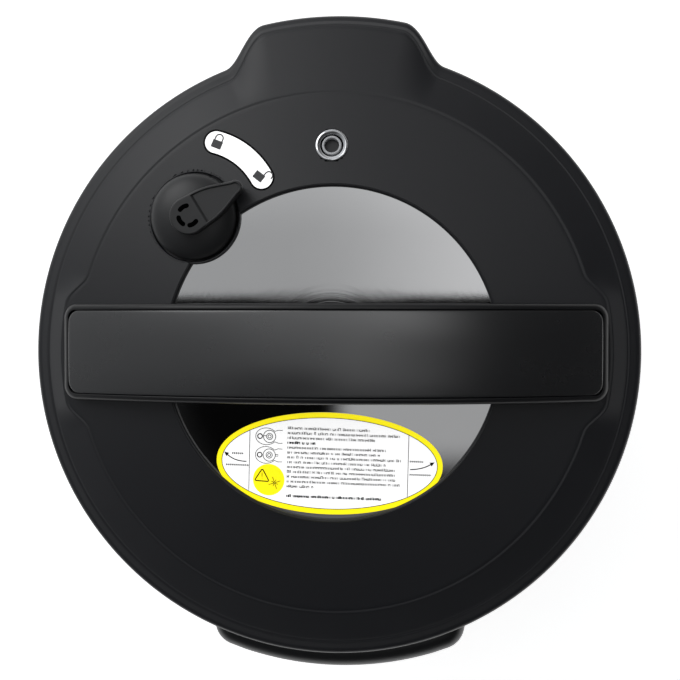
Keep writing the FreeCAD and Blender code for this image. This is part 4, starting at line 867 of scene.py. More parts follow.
@dataclass
class Handle:
    """Arched bridge handle with a crowned glossy cap let into its top."""

    half_l: float = 131.0
    half_w: float = 22.5
    corner: float = 7.0
    crest_z: float = 295.4
    drop: float = 32.0
    thick: float = 14.4
    foot_l: float = 33.0
    proud: float = 0.6
    rim: float = 2.9
    gap: float = 0.17
    crown: float = 0.9
    shift_y: float = 0.45

    def __post_init__(self) -> None:
        """Takes the handle's reach and crest from the frame."""
        high = box_mm("handle_shell")[1]
        self.half_l, self.half_w = float(high[0]) - 0.2, float(high[1]) + 0.9
        self.crest_z = float(box_mm("handle_cap")[1][2])

    def arch(self, x: Array, y: Array) -> Array:
        """Height of the arch's crown line: a circular arc through the crest and the two ends.

        Args:
            x: plan coordinate.
            y: unused, for a common form.
        Returns:
            the height.
        """
        big = (self.half_l ** 2 + self.drop ** 2) / (2 * self.drop)
        return self.crest_z - big + np.sqrt(big ** 2 - np.minimum(np.abs(x), self.half_l) ** 2)

    def under(self, cover: LidCover) -> Height:
        """Underside: a second arch between the feet, and the cover's slope below the feet.

        Args:
            cover: what the feet stand on.
        Returns:
            the height function; a smooth step joins arch and feet.
        """
        inner = self.half_l - self.foot_l
        crest = self.crest_z - self.proud - self.thick
        end = float(cover.slope(np.array(inner), np.array(0.0))) + 2.5

        def height(x: Array, y: Array) -> Array:
            """Height of the underside at places in plan."""
            share = np.minimum(np.abs(x) / inner, 1.0)
            bow = crest - (crest - end) * share ** 2
            foot = np.minimum(cover.slope(x, y), cover.crease_z + 3) - 3.0
            return bow + (foot - bow) * ramp(np.abs(x), inner - 0.2, inner + 1.8)

        return height

    def _outline(self, inset: float, corner: float, n: int) -> Tuple[Array, Array]:
        """Rounded rectangle in plan and the spine that it shrinks to.

        Args:
            inset: distance in from the handle's sides.
            corner: radius of its corners.
            n: number of points.
        Returns:
            the loop, and for each of its points the nearest point of the middle line.
        """
        a, b = self.half_l - inset, self.half_w - inset
        loop = rounded_loop([(a, -b, corner), (a, b, corner), (-a, b, corner), (-a, -b, corner)], per=14)
        loop = resampled(loop, n)
        spine = np.stack([np.clip(loop[:, 0], -(a - b), a - b), 0 * loop[:, 0]], axis=1)
        shift = np.array([0.0, self.shift_y])
        return loop + shift, spine + shift

    def build(self, cover: LidCover) -> List[Piece]:
        """Builds the handle's body with its recess, and the cap.

        Args:
            cover: what the feet stand on.
        Returns:
            the two pieces.
        """
        loop, spine = self._outline(0.0, self.corner, 1401)
        top: Height = lambda x, y: self.arch(x, y) - self.proud
        edge = 2.3
        body = [Station(1, 1, 0, 0), Station(1, 0.5, 0, 0), Station(0.7, 0, 0, 0), Station(0.2, 0, 0, 0.25),
                Station(0, 0, 0, 0.8), Station(0, 0, 0.5, 0)]
        body += [Station(edge * (1 - math.cos(t)), 0, 1, edge * (math.sin(t) - 1))
                 for t in np.radians(np.linspace(0, 90, 8))]
        body += [Station(self.rim - 0.25, 0, 1, 0.0), Station(self.rim - 0.07, 0, 1, -0.08),
                 Station(self.rim, 0, 1, -0.3), Station(self.rim + 0.02, 0, 1, -1.9)]
        body += [Station(self.rim + 0.1, k, 1, -2.0) for k in (0.0, 0.33, 0.66, 1.0)]
        shell = loft(loop, spine, body, top, self.under(cover))
        pieces = [Piece("handle_body", shell, HANDLE, "lid", "handle_plastic", ("handle_shell",), sharp=40)]
        inset = self.rim + self.gap
        loop, spine = self._outline(inset, self.corner - 1.2, 1401)
        half = self.half_w - inset
        crowned: Height = lambda x, y: (
            self.arch(x, y) - self.crown * (np.abs(y - self.shift_y) / half) ** 2.4 - 0.02)
        shell = loft(loop, spine, rings(0.6, 1.0, inner=18), crowned,
                     lambda x, y: self.arch(x, y) - self.proud - 1.9)
        pieces.append(Piece("handle_cap_skin", shell, CAP, "lid", "cap_plastic", ("handle_cap",), sharp=50))
        return pieces


@dataclass
class SteamKnob:
    """Steam release knob: a round dome under a leaf-shaped lever with a dished face."""

    centre: Tuple[float, float]
    dome_r: float = 21.0
    base_z: float = 261.9
    dome_top: float = 271.9
    top_z: float = 278.9
    hub_r: float = 9.2
    tip_r: float = 3.5
    length: float = 29.2
    angle: float = 31.5
    hub_shift: Tuple[float, float] = (0.1, -0.5)
    slot_turns: Tuple[float, ...] = (90.0, 184.0, 270.0)
    slot_r: float = 4.7
    slot_half: float = 1.1
    slot_span: float = 23.0

    def __post_init__(self) -> None:
        """Takes the knob's levels from the frame."""
        low, high = box_mm("release_knob")
        self.base_z, self.top_z = float(low[2]) - 1.8, float(high[2])
        self.dome_top = self.top_z - 6.6

    def _dome(self) -> Shell:
        """Dome: r = R sin t and z = base + rise cos t for t up to a right angle, then a short wall."""
        t = np.radians(np.linspace(0, 90, 30))
        rim = self.base_z + 5.0
        r = self.dome_r * np.sin(t) ** 0.96
        z = rim + (self.dome_top - rim) * np.cos(t) ** 1.05
        wall = np.array([[self.dome_r, self.base_z + 0.5], [self.dome_r - 0.5, self.base_z],
                         [self.dome_r - 2.5, self.base_z], [self.dome_r - 3, rim], [0, self.dome_top - 3],
                         [0, self.dome_top]])
        return lathe(np.concatenate([np.stack([r, z], 1), wall]), self.centre, 256)

    def half_width(self, s: Array) -> Array:
        """Half width of the leaf at a distance along it.

        Args:
            s: distance from the hub's middle towards the tip.
        Returns:
            a circle round the hub, a taper with a slight belly, and a circle at the tip.
        """
        tip = self.length - self.tip_r
        u = np.clip(s / tip, 0, 1)
        taper = self.hub_r + (self.tip_r - self.hub_r) * u + 1.5 * np.sin(np.pi * u) ** 1.3
        hub = np.sqrt(np.maximum(self.hub_r ** 2 - np.minimum(s, 0) ** 2, 0))
        nose = np.sqrt(np.maximum(self.tip_r ** 2 - np.maximum(s - tip, 0) ** 2, 0)) / self.tip_r
        return np.where(s < 0, hub, taper * nose)

    def _leaf(self, n: int = 361) -> Tuple[Array, Array]:
        """Outline of the leaf and the middle line that it shrinks to, before it is turned."""
        t = np.linspace(0, np.pi, n // 2 + 1)
        low, high = -self.hub_r, self.length
        s = low + (high - low) * (1 - np.cos(t)) / 2.0
        w = self.half_width(s)
        upper = np.stack([s[::-1], w[::-1]], 1)
        lower = np.stack([s[1:], -w[1:]], 1)
        loop = np.concatenate([upper, lower])
        loop = resampled(loop, n)
        spine = np.stack([np.clip(loop[:, 0], 0.0, self.length - self.tip_r), 0 * loop[:, 0]], axis=1)
        return loop, spine

    def build(self) -> List[Piece]:
        """Builds the dome, the lever and, on its hub, thin black sheets painted as the shade of its slots.

        Returns:
            the three pieces.
        """
        centre = (self.centre[0] + self.hub_shift[0], self.centre[1] + self.hub_shift[1])
        loop, spine = self._leaf()
        a = math.radians(self.angle)

        def along(x: Array, y: Array) -> Array:
            """Distance from the hub's middle towards the tip."""
            return (x - centre[0]) * math.cos(a) + (y - centre[1]) * math.sin(a)

        def top(x: Array, y: Array) -> Array:
            """Height of the lever's top, which falls towards the tip."""
            return self.top_z - 0.05 - 2.1 * ramp(along(x, y), 2.0, self.length) ** 1.2

        def dish(x: Array, y: Array) -> Array:
            """Depth of the dished face: a smooth step down beside the hub, as a negative share."""
            return -ramp(along(x, y), self.hub_r - 3.6, self.hub_r - 2.4)

        stations = [Station(1.2, 1, 0, 0), Station(1.2, 0.5, 0, 0), Station(0.6, 0, 0, 0)]
        stations += [Station(0.9 * (1 - math.cos(t)), 0, 1, 0.9 * (math.sin(t) - 1))
                     for t in np.radians(np.linspace(0, 90, 7))]
        stations += [Station(1.15, 0, 1, 0.0), Station(1.3, 0, 1, -0.03, 0.1), Station(1.4, 0, 1, 0, 0.75)]
        stations += [Station(1.5, k, 1, 0, 0.95) for k in np.linspace(0, 1, 26)]
        loop, spine = turned_points(loop, centre, self.angle), turned_points(spine, centre, self.angle)
        lever = loft(loop, spine, stations, top, flat(self.dome_top - 4.5), dish)
        slots = []
        share = self.slot_half / self.slot_r
        for turn in self.slot_turns:
            mid = math.degrees(math.radians(self.angle + turn))
            first, last = mid - self.slot_span, mid + self.slot_span
            path = arc(0, 0, self.slot_r, first, last, 15)
            ends = [arc(*path[-1], self.slot_half, last, mid + (180 + self.slot_span), 9),
                    arc(*path[0], self.slot_half, mid - (180 + self.slot_span), first, 9)]
            band = np.concatenate([path * (1 + share), ends[0], path[::-1] * (1 - share), ends[1]])
            band = resampled(np.concatenate([band, band[:1]]), 80) + np.array(centre)
            middle = np.array(centre) + np.stack([
                np.interp(np.linspace(0, 1, 80), np.linspace(0, 1, 15), path[:, k]) for k in (0, 1)], 1)
            half = np.concatenate([middle[::2], middle[::-2]])[:80]
            # Each slot is a black sheet lying on the lever's face: painted shade, no hole is cut.
            slots.append(plate(band, top, 0.03, half, inner=3))
        return [Piece("knob_dome", self._dome(), KNOB, "release_knob", "knob_plastic", ("release_knob",)),
                Piece("knob_lever", lever, KNOB, "release_knob", "knob_plastic", sharp=45),
                Piece("knob_slot_shade", Shell.joined(slots), PAINTED_SHADE, "release_knob", "knob_plastic")]


@dataclass
class FloatBush:
    """Chrome collar, white ring and the float valve's well, painted black as shade, all set square to the slope.
    """

    centre: Tuple[float, float]
    cover: LidCover
    collar_r: float = 7.95
    ring_r: float = 4.75

    def _tilted(self, profile: Array) -> Shell:
        """Turned shape about the slope's own normal at the valve.

        Args:
            profile: closed loop of (radius, height above the slope).
        Returns:
            the surface, tipped by the slope's angle about X and set on it.
        """
        shell = lathe(profile, (0, 0), 160)
        x, y = self.centre
        here = float(self.cover.slope(np.array(x), np.array(y)))
        fall = here - float(self.cover.slope(np.array(x), np.array(y + 1.0)))
        a = math.atan(fall)
        p = shell.points
        moved = np.stack([p[:, 0] + x, p[:, 1] * math.cos(a) + p[:, 2] * math.sin(a) + y,
                          -p[:, 1] * math.sin(a) + p[:, 2] * math.cos(a) + here], axis=1)
        return Shell(moved, shell.quads)

    def build(self) -> List[Piece]:
        """Builds the collar, the ring and the well between and inside them, the well in painted shade.

        Returns:
            the pieces.
        """
        r = self.collar_r
        collar = rounded_loop([(r, -1.0, 0), (r, 0.75, 0.6), (r - 1.0, 1.0, 0.4), (r - 2.3, 0.3, 0.5),
                               (r - 2.5, -2.8, 0), (r - 1.2, -2.8, 0)], per=6)
        w = self.ring_r
        ring = rounded_loop([(w, -2.6, 0), (w, 0.35, 0.4), (w - 1.15, 0.35, 0.4), (w - 1.15, -2.6, 0)], per=6)
        well = rounded_loop([(0, -4.4, 0), (r - 1.5, -4.4, 0), (r - 1.5, -2.3, 0), (w - 0.4, -2.3, 0),
                             (w - 1.2, -2.3, 0), (w - 1.2, -3.6, 0), (0, -3.6, 0)], per=2)
        # The well's near-black finish is painted shade in the hollow.
        return [Piece("float_collar", self._tilted(collar), CHROME, "lid", "polished_steel", ("float_bush",)),
                Piece("float_ring", self._tilted(ring), SEAL_WHITE, "lid", "label"),
                Piece("float_well_shade", self._tilted(well), PAINTED_SHADE, "lid", "component_plastic")]


# ---------------------------------------------------------------- control panel

@dataclass
class ControlPanel:
    """Curved front panel with let-down windows for the display and the six buttons."""

    face_r: float = 166.4
    root_r: float = 146.0
    half_w: float = 64.0
    root_half_w: float = 70.0
    corner: float = 13.0
    round_top: float = 8.5
    round_foot: float = 2.5
    pocket: float = 2.6
    margin: float = 0.35
    button_half: float = 11.0
    low_z: float = 10.0
    top_z: float = 222.0
    windows: List[Tuple[float, float, float, float]] = field(default_factory=list)
    buttons: Tuple[str, ...] = ("button_menu", "button_timer", "button_keep_warm", "button_minus",
                                "button_start", "button_plus")

    def __post_init__(self) -> None:
        """Takes the panel's reach and the places of its windows from the frame."""
        low, high = box_mm("front_fascia")
        self.face_r, self.low_z, self.top_z = -float(low[1]) - 0.1, float(low[2]), float(high[2])
        for node in ("display_window",) + self.buttons:
            a, b = box_mm(node)
            grow = self.margin if node == "display_window" else self.margin - 2.0
            self.windows.append((float(a[0]) - grow, float(b[0]) + grow,
                                 float(a[2]) - grow, float(b[2]) + grow))

    def _face_x(self) -> Array:
        """Places across the face, even steps with a pair at each window's edge."""
        edges = np.array([e + d for w in self.windows for e in w[:2] for d in (-0.04, 0.04)])
        even = np.linspace(-50, 50, 101)
        far = np.min(np.abs(even[:, None] - edges[None]), axis=1) > 0.3
        return np.unique(np.concatenate([even[far], edges]).round(4))

    def _outline(self) -> Tuple[Array, Array]:
        """Plan of the panel, anticlockwise from the left root, and the arc that it shrinks to."""
        x = self._face_x()
        face = np.stack([x, -np.sqrt(self.face_r ** 2 - x ** 2)], 1)
        w, root = self.half_w, self.root_half_w
        y_w = -math.sqrt(self.face_r ** 2 - w ** 2)
        y_root = -math.sqrt(self.root_r ** 2 - root ** 2)
        y_x = -math.sqrt(self.face_r ** 2 - x[-1] ** 2)
        corner = rounded_loop([(x[-1], y_x, 0), (w, y_w, self.corner), (root, y_root, 0),
                               (x[-1], y_root, 0)], per=16)
        turn = corner[1:18]
        back = arc(0, 0, self.root_r, math.degrees(math.atan2(y_root, root)),
                   math.degrees(math.atan2(y_root, -root)), 90)
        left = turn[::-1] * np.array([-1.0, 1.0])
        flank = np.stack([np.linspace(turn[-1, 0], root, 8)[1:-1],
                          np.linspace(turn[-1, 1], y_root, 8)[1:-1]], 1)
        loop = np.concatenate([face, turn, flank, back, flank[::-1] * np.array([-1.0, 1.0]), left])
        loop = np.concatenate([loop, loop[:1]])
        mid = (self.face_r + self.root_r) / 2
        sx = np.clip(loop[:, 0], -58, 58)
        return loop, np.stack([sx, -np.sqrt(mid ** 2 - sx ** 2)], 1)

    def build(self) -> List[Piece]:
        """Builds the panel's skin, the legend on its buttons and the figures on its display.

        Returns:
            the pieces. Points of the face inside a window move inwards by the pocket's depth.
        """
        loop, spine = self._outline()
        edges = np.array([e + d for w in self.windows for e in w[2:] for d in (-0.04, 0.04)])
        even = np.linspace(self.low_z + self.round_foot + 1, self.top_z - self.round_top - 1, 60)
        far = np.min(np.abs(even[:, None] - edges[None]), axis=1) > 0.3
        levels = np.unique(np.concatenate([even[far], edges]).round(4))
        foot, top = self.round_foot, self.round_top
        stations = [Station(foot, k, 0, 0) for k in (1, 0.5)]
        stations += [Station(foot * (1 - math.sin(t)), 0, 0, foot * (1 - math.cos(t)))
                     for t in np.radians(np.linspace(0, 90, 6))]
        stations += [Station(0, 0, 0, float(z) - self.low_z) for z in levels]
        stations += [Station(top * (1 - math.cos(t)), 0, 1, top * (math.sin(t) - 1))
                     for t in np.radians(np.linspace(0, 90, 12))]
        stations += [Station(top, k, 1, 0) for k in (0.35, 0.7, 1.0)]
        shell = loft(loop, spine, stations, flat(self.top_z), flat(self.low_z))
        p = shell.points
        front = (p[:, 1] < -self.root_r - 4) & (np.abs(p[:, 0]) < 52)
        inside = np.zeros(len(p), bool)
        for x0, x1, z0, z1 in self.windows:
            inside |= (p[:, 0] > x0) & (p[:, 0] < x1) & (p[:, 2] > z0) & (p[:, 2] < z1)
        scale = np.where(inside & front, 1 - self.pocket / self.face_r, 1.0)
        shell.points = np.stack([p[:, 0] * scale, p[:, 1] * scale, p[:, 2]], 1)
        pieces = [Piece("panel_skin", shell, PANEL, "root", "panel_plastic", ("front_fascia",), sharp=30)]
        return pieces + [self._figures()] + self._legends()

    def _mark(self, x: Array, z: Array, wide: float, r: float) -> Shell:
        """Thin line on the curved face along a path of (x, z).

        Its section is a box, carried along the path at half the width to either side.

        Args:
            x: places across.
            z: heights.
            wide: width of the line.
            r: radius that it lies on.
        Returns:
            the surface.
        """
        path = np.stack([x, z], 1)
        tangent = np.gradient(path, axis=0)
        tangent /= np.maximum(np.linalg.norm(tangent, axis=1, keepdims=True), 1e-9)
        side = np.stack([-tangent[:, 1], tangent[:, 0]], 1) * wide / 2
        across = path[:, None] + side[:, None] * np.array([1, 1, -1, -1, 1.0])[None, :, None]
        out = r + np.array([-0.1, 0.06, 0.06, -0.1, -0.1])[None]
        y = -np.sqrt(out ** 2 - across[..., 0] ** 2)
        grid = np.stack([across[..., 0], y, across[..., 1]], -1)
        ends = [np.repeat(g.mean(axis=0)[None], 5, axis=0)[None] for g in (grid[0, :4], grid[-1, :4])]
        return Shell.grid(np.concatenate([ends[0], grid, ends[1]]))

    def _figures(self) -> Piece:
        """Four seven-segment figures and their colon, showing a cooking time."""
        x0, x1, z0, z1 = self.windows[0]
        cx, cz = (x0 + x1) / 2, (z0 + z1) / 2
        wide, tall, slant = 6.0, 6.6, 0.10
        glass_r = -float(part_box("display_window")[0][1]) / MM
        shapes = {"0": "abcdef", "3": "abcdg"}
        places = {"a": (0, 2, 1, 2), "b": (1, 2, 1, 1), "c": (1, 1, 1, 0), "d": (0, 0, 1, 0),
                  "e": (0, 1, 0, 0), "f": (0, 2, 0, 1), "g": (0, 1, 1, 1)}
        shells: List[Shell] = []
        for i, digit in enumerate("0030"):
            left = cx + (-19.5, -10.0, 3.6, 13.1)[i]
            for key in shapes[digit]:
                ax, az, bx, bz = places[key]
                t = np.linspace(0.10, 0.90, 6)
                px = left + (ax + (bx - ax) * t) * wide
                pz = cz + (az + (bz - az) * t - 1) * tall
                shells.append(self._mark(px + slant * (pz - cz), pz, 1.15, glass_r))
        for dz in (-3.0, 3.0):
            t = np.linspace(-0.6, 0.6, 5)
            shells.append(self._mark(cx - 0.2 + t, cz + dz + 0 * t, 1.2, glass_r))
        return Piece("display_figures", Shell.joined(shells), DIGITS, "root", "display")

    def _legends(self) -> List[Piece]:
        """One plain sign on each button: bars, a clock, waves, minus, a triangle and plus."""
        t = np.linspace(0, 2 * np.pi, 33)
        line = np.linspace(-2.6, 2.6, 9)
        signs: Dict[str, List[Tuple[Array, Array]]] = {
            "button_menu": [(line, 0 * line + dz) for dz in (-1.7, 0.0, 1.7)],
            "button_timer": [(2.5 * np.cos(t), 2.5 * np.sin(t)), (0 * line[:5], np.linspace(0, 1.6, 5)),
                             (np.linspace(0, 1.1, 5), 0 * line[:5])],
            "button_keep_warm": [(dx + 0.5 * np.sin(line * 1.6), line) for dx in (-2.2, 0.0, 2.2)],
            "button_minus": [(line, 0 * line)],
            "button_start": [(np.array([-1.6, -1.6, 2.2, -1.6, -1.6]), np.array([0.0, 2.3, 0, -2.3, 0.0]))],
            "button_plus": [(line, 0 * line), (0 * line, line)],
        }
        pieces = []
        for node, (x0, x1, z0, z1) in zip(self.buttons, self.windows[1:]):
            low, _ = box_mm(node)
            cx, cz = (x0 + x1) / 2, (z0 + z1) / 2
            reach = math.hypot(-float(low[1]), max(abs(cx) - self.button_half, 0.0))
            shells = [self._mark(cx + sx, cz + sz, 0.55, reach) for sx, sz in signs[node]]
            pieces.append(Piece("legend_" + node, Shell.joined(shells), LEGEND, node, "label"))
        return pieces


# ---------------------------------------------------------------- labels

@dataclass
class InfoLabel:
    """Oval label on the polished dome: a yellow border, pictograms, arrows and rows of grey marks."""

    dome: SteelDome
    centre: Tuple[float, float] = (-2.5, -53.6)
    half_l: float = 54.8
    half_w: float = 24.8
    tilt: float = -1.6
    shift_x: float = 1.2
    border: float = 2.5
    row_step: float = 2.37
    row_start: float = -20.2
    rows: Tuple[float, ...] = (40, 54.5, 43.2, 13.7, 48, 45.6, 55.7, 49, 52.5, 53, 52.5, 54.9, 13.3)

    def __post_init__(self) -> None:
        """Takes the label's place from the frame."""
        low, high = box_mm("info_sticker")
        self.centre = (float(low[0] + high[0]) / 2 + self.shift_x, float(low[1] + high[1]) / 2)
        self.half_l, self.half_w = float(high[0] - low[0]) / 2 + 0.6, float(high[1] - low[1]) / 2

    def _put(self, points: Array) -> Array:
        """Label coordinates to plan."""
        return turned_points(np.asarray(points, float), self.centre, self.tilt)

    def _oval(self, inset: float, n: int = 241) -> Array:
        """Ellipse in plan whose half axes are less by an inset."""
        t = np.linspace(0, 2 * np.pi, n)
        return self._put(np.stack([(self.half_l - inset) * np.cos(t), (self.half_w - inset) * np.sin(t)], 1))

    def _lines(self, paths: Sequence[Array], width: float, closed: bool = False) -> List[Shell]:
        """Printed lines along paths in label coordinates."""
        level: Height = lambda x, y: self.dome.height(x, y) + 0.34
        return [line_band(self._put(p), width, level, 0.05, closed) for p in paths]

    def _text(self) -> Shell:
        """Rows of short marks in place of print: widths and gaps of each mark come from a fixed seed."""
        rng = np.random.default_rng(7)
        shells: List[Shell] = []
        for i, length in enumerate(self.rows + (46.0,)):
            y = 16.6 - self.row_step * (i if i < 13 else 14.0)
            bold = i in (3, 13)
            x = self.row_start
            end = x + length
            while x < end - 0.8:
                wide = min(float(rng.uniform(0.55, 0.95)), end - x)
                low, high = y - 0.55, y + (0.50 if rng.random() < 0.85 else 0.85)
                level = float(rng.choice([low + 0.1, y, high - 0.1]))
                marks = [np.array([[x, low], [x + 0.001, high]]),
                         np.array([[x + wide, low], [x + wide + 0.001, high]]),
                         np.array([[x, level], [x + wide, level]])]
                shells += self._lines(marks[:1 + int(rng.integers(1, 3))], 0.46 if bold else 0.31)
                x += wide + (1.35 if rng.random() < 0.15 else 0.45)
        return Shell.joined(shells)

    def _pictures(self) -> Shell:
        """Dividers, arrows, knob pictograms, a warning triangle and a burst of hot steam."""
        t = np.linspace(0, 2 * np.pi, 49)
        circle = np.stack([np.cos(t), np.sin(t)], axis=1)
        thin: List[Array] = [np.stack([np.full(12, -38.9), np.linspace(-14.5, 15.2, 12)], 1),
                             np.stack([np.full(12, 38.4), np.linspace(-14.8, 15.0, 12)], 1)]
        loops: List[Array] = []
        heavy: List[Array] = []
        for y in (12.2, 3.1):
            centre = np.array([-29.2, y])
            loops += [centre + 3.0 * circle, centre + 1.5 * circle, centre + 0.75 * circle]
            heavy.append(centre + np.array([-4.7, 0]) + 1.15 * circle)
            a = np.radians(np.linspace(38, 322, 40))
            thin.append(centre + np.stack([5.2 * np.cos(a) - 1.6, 4.1 * np.sin(a)], axis=1))
            for side in (-1, 1):
                thin.append(centre + np.array([[2.5, 2.5 * side], [4.4, 3.2 * side], [6.4, 3.1 * side]]))
        thin.append(np.array([-29.2, 12.2]) + np.array([[-3.0, 0.3], [-1.6, 0.3]]))
        thin.append(np.array([-29.2, 3.1]) + np.array([[3.0, 0.4], [4.3, 0.4], [4.3, -0.4], [3.0, -0.4]]))
        triangle = rounded_loop([(-36.2, -9.6, 0.5), (-28.9, -9.9, 0.5), (-32.4, -3.6, 0.5)], per=5)
        heavy.append(triangle)
        thin += [np.array([[-32.5, -5.6], [-32.5, -7.7]]), np.array([[-32.5, -8.3], [-32.5, -8.6]])]
        rays = np.radians(np.arange(0, 360, 45) + 20)
        reach = np.where(np.arange(8) % 2 == 0, 3.1, 1.8)
        for a, far in zip(rays, reach):
            d = np.array([math.cos(a), math.sin(a)])
            thin.append(np.array([-26.3, -10.4]) + np.array([0.25 * d, far * d]))
        u = np.linspace(0, 1, 24)[:, None]
        left = (1 - u) ** 2 * np.array([-40.3, -0.4]) + 2 * u * (1 - u) * np.array([-46.6, -0.6]) \
            + u ** 2 * np.array([-50.2, 3.0])
        right = (1 - u) ** 2 * np.array([39.4, -1.5]) + 2 * u * (1 - u) * np.array([45.6, -1.3]) \
            + u ** 2 * np.array([49.8, 1.6])
        shells = self._lines(thin, 0.30) + self._lines(loops, 0.34, True) + self._lines(heavy, 0.52, True)
        shells += self._lines([left, right], 0.5)
        level: Height = lambda x, y: self.dome.height(x, y) + 0.34
        for end, back in ((left[-1], left[-6]), (right[-1], right[-6])):
            d = (end - back) / np.linalg.norm(end - back)
            n = np.array([-d[1], d[0]])
            head = np.array([end + 1.5 * d, end - 0.7 * d + 1.1 * n, end - 0.7 * d - 1.1 * n])
            shells.append(plate(self._put(np.concatenate([head, head[:1]])), level, 0.05, inner=2))
        for x, y, wide in ((-44.6, 3.4, 5.4), (-44.9, -2.3, 10.6), (42.6, 2.4, 6.4), (44.2, -4.0, 9.6)):
            marks = [np.array([[x + k, y - 0.5], [x + k + 0.001, y + 0.5]])
                     for k in np.arange(-wide / 2, wide / 2, 0.95)]
            marks += [np.array([[x + k, y], [x + k + 0.6, y]]) for k in np.arange(-wide / 2, wide / 2, 0.95)]
            shells += self._lines(marks, 0.34)
        return Shell.joined(shells)

    def build(self) -> List[Piece]:
        """Builds the film, its border, the yellow disc and what is printed on it.

        Returns:
            the pieces.
        """
        face = self.dome.height
        t = np.linspace(0, 2 * np.pi, 241)
        spine = self._put(np.stack([(self.half_l - self.half_w) * np.cos(t), 0 * t], 1))
        film = plate(self._oval(0), face, 0.30, spine, inner=14)
        border = line_band(self._oval(self.border / 2), self.border, lambda x, y: face(x, y) + 0.30,
                           0.035, True)
        line = line_band(self._oval(self.border + 0.1), 0.32, lambda x, y: face(x, y) + 0.34, 0.04, True)
        sun = self._put(np.array([-29.2, -9.0]) + 7.75 * np.stack([np.cos(t), np.sin(t)], 1))
        spot = plate(sun, lambda x, y: face(x, y) + 0.30, 0.03, inner=6)
        # Film, border and yellow disc glow with painted light.
        return [Piece("info_film", film, GLOWING_FILM, "lid", "label", ("info_sticker",)),
                Piece("info_border", border, GLOWING_YELLOW, "lid", "label"),
                Piece("info_line", line, INK, "lid", "label"),
                Piece("info_sun", spot, GLOWING_YELLOW, "lid", "label"),
                Piece("info_pictures", self._pictures(), INK, "lid", "label"),
                Piece("info_rows", self._text(), GREY_INK, "lid", "label")]


@dataclass
class ScaleLabel:
    """White arc beside the knob with a closed and an open padlock."""

    knob: Tuple[float, float]
    cover: LidCover
    inner_r: float = 32.8
    outer_r: float = 43.6
    start: float = 21.4
    end: float = 82.8

    def _band(self, grow: float, n: int = 200) -> Tuple[Array, Array]:
        """Arc band with round ends, and its middle line.

        Args:
            grow: how much wider than the label on every side.
            n: number of points.
        Returns:
            the loop and the middle point for each of its points.
        """
        mid, half = (self.inner_r + self.outer_r) / 2, (self.outer_r - self.inner_r) / 2 + grow
        cap = math.degrees((self.outer_r - self.inner_r) / 2 / mid)
        a0, a1 = self.start + cap, self.end - cap
        first = np.array([math.cos(math.radians(a0)), math.sin(math.radians(a0))]) * mid
        last = np.array([math.cos(math.radians(a1)), math.sin(math.radians(a1))]) * mid
        loop = np.concatenate([arc(0, 0, mid + half, a0, a1, 40), arc(*last, half, a1, a1 + 180, 20),
                               arc(0, 0, mid - half, a1, a0, 40), arc(*first, half, a0 + 180, a0 + 360, 20)])
        loop = resampled(np.concatenate([loop, loop[:1]]), n)
        angle = np.clip(np.degrees(np.arctan2(loop[:, 1], loop[:, 0])), a0, a1)
        middle = mid * np.stack([np.cos(np.radians(angle)), np.sin(np.radians(angle))], 1)
        return loop + np.array(self.knob), middle + np.array(self.knob)

    def _padlock(self, where: Array, turn: float, open_lock: bool) -> List[Shell]:
        """Outline padlock: a rounded body and a shackle, which is moved aside when open.

        Args:
            where: its middle in plan.
            turn: its angle in degrees.
            open_lock: whether the shackle is open.
        Returns:
            the printed lines.
        """
        level: Height = lambda x, y: self.cover.slope(x, y) + 0.27
        body = rounded_loop([(2.6, -2.9, 0.4), (2.6, 1.1, 0.4), (-2.6, 1.1, 0.4), (-2.6, -2.9, 0.4)], per=5)
        shift = 3.6 if open_lock else 0.0
        foot = 1.6 if open_lock else 1.1
        bow = np.concatenate([[[1.9 + shift, foot]], arc(shift, 2.3, 1.9, 0, 180, 18), [[-1.9 + shift, 1.1]]])
        return [plate(turned_points(body, tuple(where), turn), level, 0.05, inner=2),
                line_band(turned_points(bow, tuple(where), turn), 0.62, level, 0.05)]

    def build(self) -> List[Piece]:
        """Builds a black band painted as the shade of the groove round the film, the film and the two padlocks.

        Returns:
            the pieces.
        """
        base = self.cover.slope
        groove, _ = self._band(0.55)
        film, middle = self._band(0.0)
        # No groove is cut: a near-black band on the slope stands in for its shade.
        rim = line_band(groove, 0.75, base, 0.03, True)
        mid = (self.inner_r + self.outer_r) / 2
        locks: List[Shell] = []
        for angle, turned, is_open in ((self.end - 9.5, -22.0, False), (self.start + 10.5, -38.0, True)):
            where = np.array(self.knob) + mid * np.array([math.cos(math.radians(angle)),
                                                          math.sin(math.radians(angle))])
            locks += self._padlock(where, turned, is_open)
        # The film glows with painted light.
        return [Piece("scale_groove_shade", rim, PAINTED_SHADE, "lid", "cover_plastic"),
                Piece("scale_film", plate(film, base, 0.22, middle, inner=6), GLOWING_FILM, "lid", "label",
                      ("scale_sticker",)),
                Piece("scale_padlocks", Shell.joined(locks), MARK_GREY, "lid", "label")]


# ---------------------------------------------------------------- stage

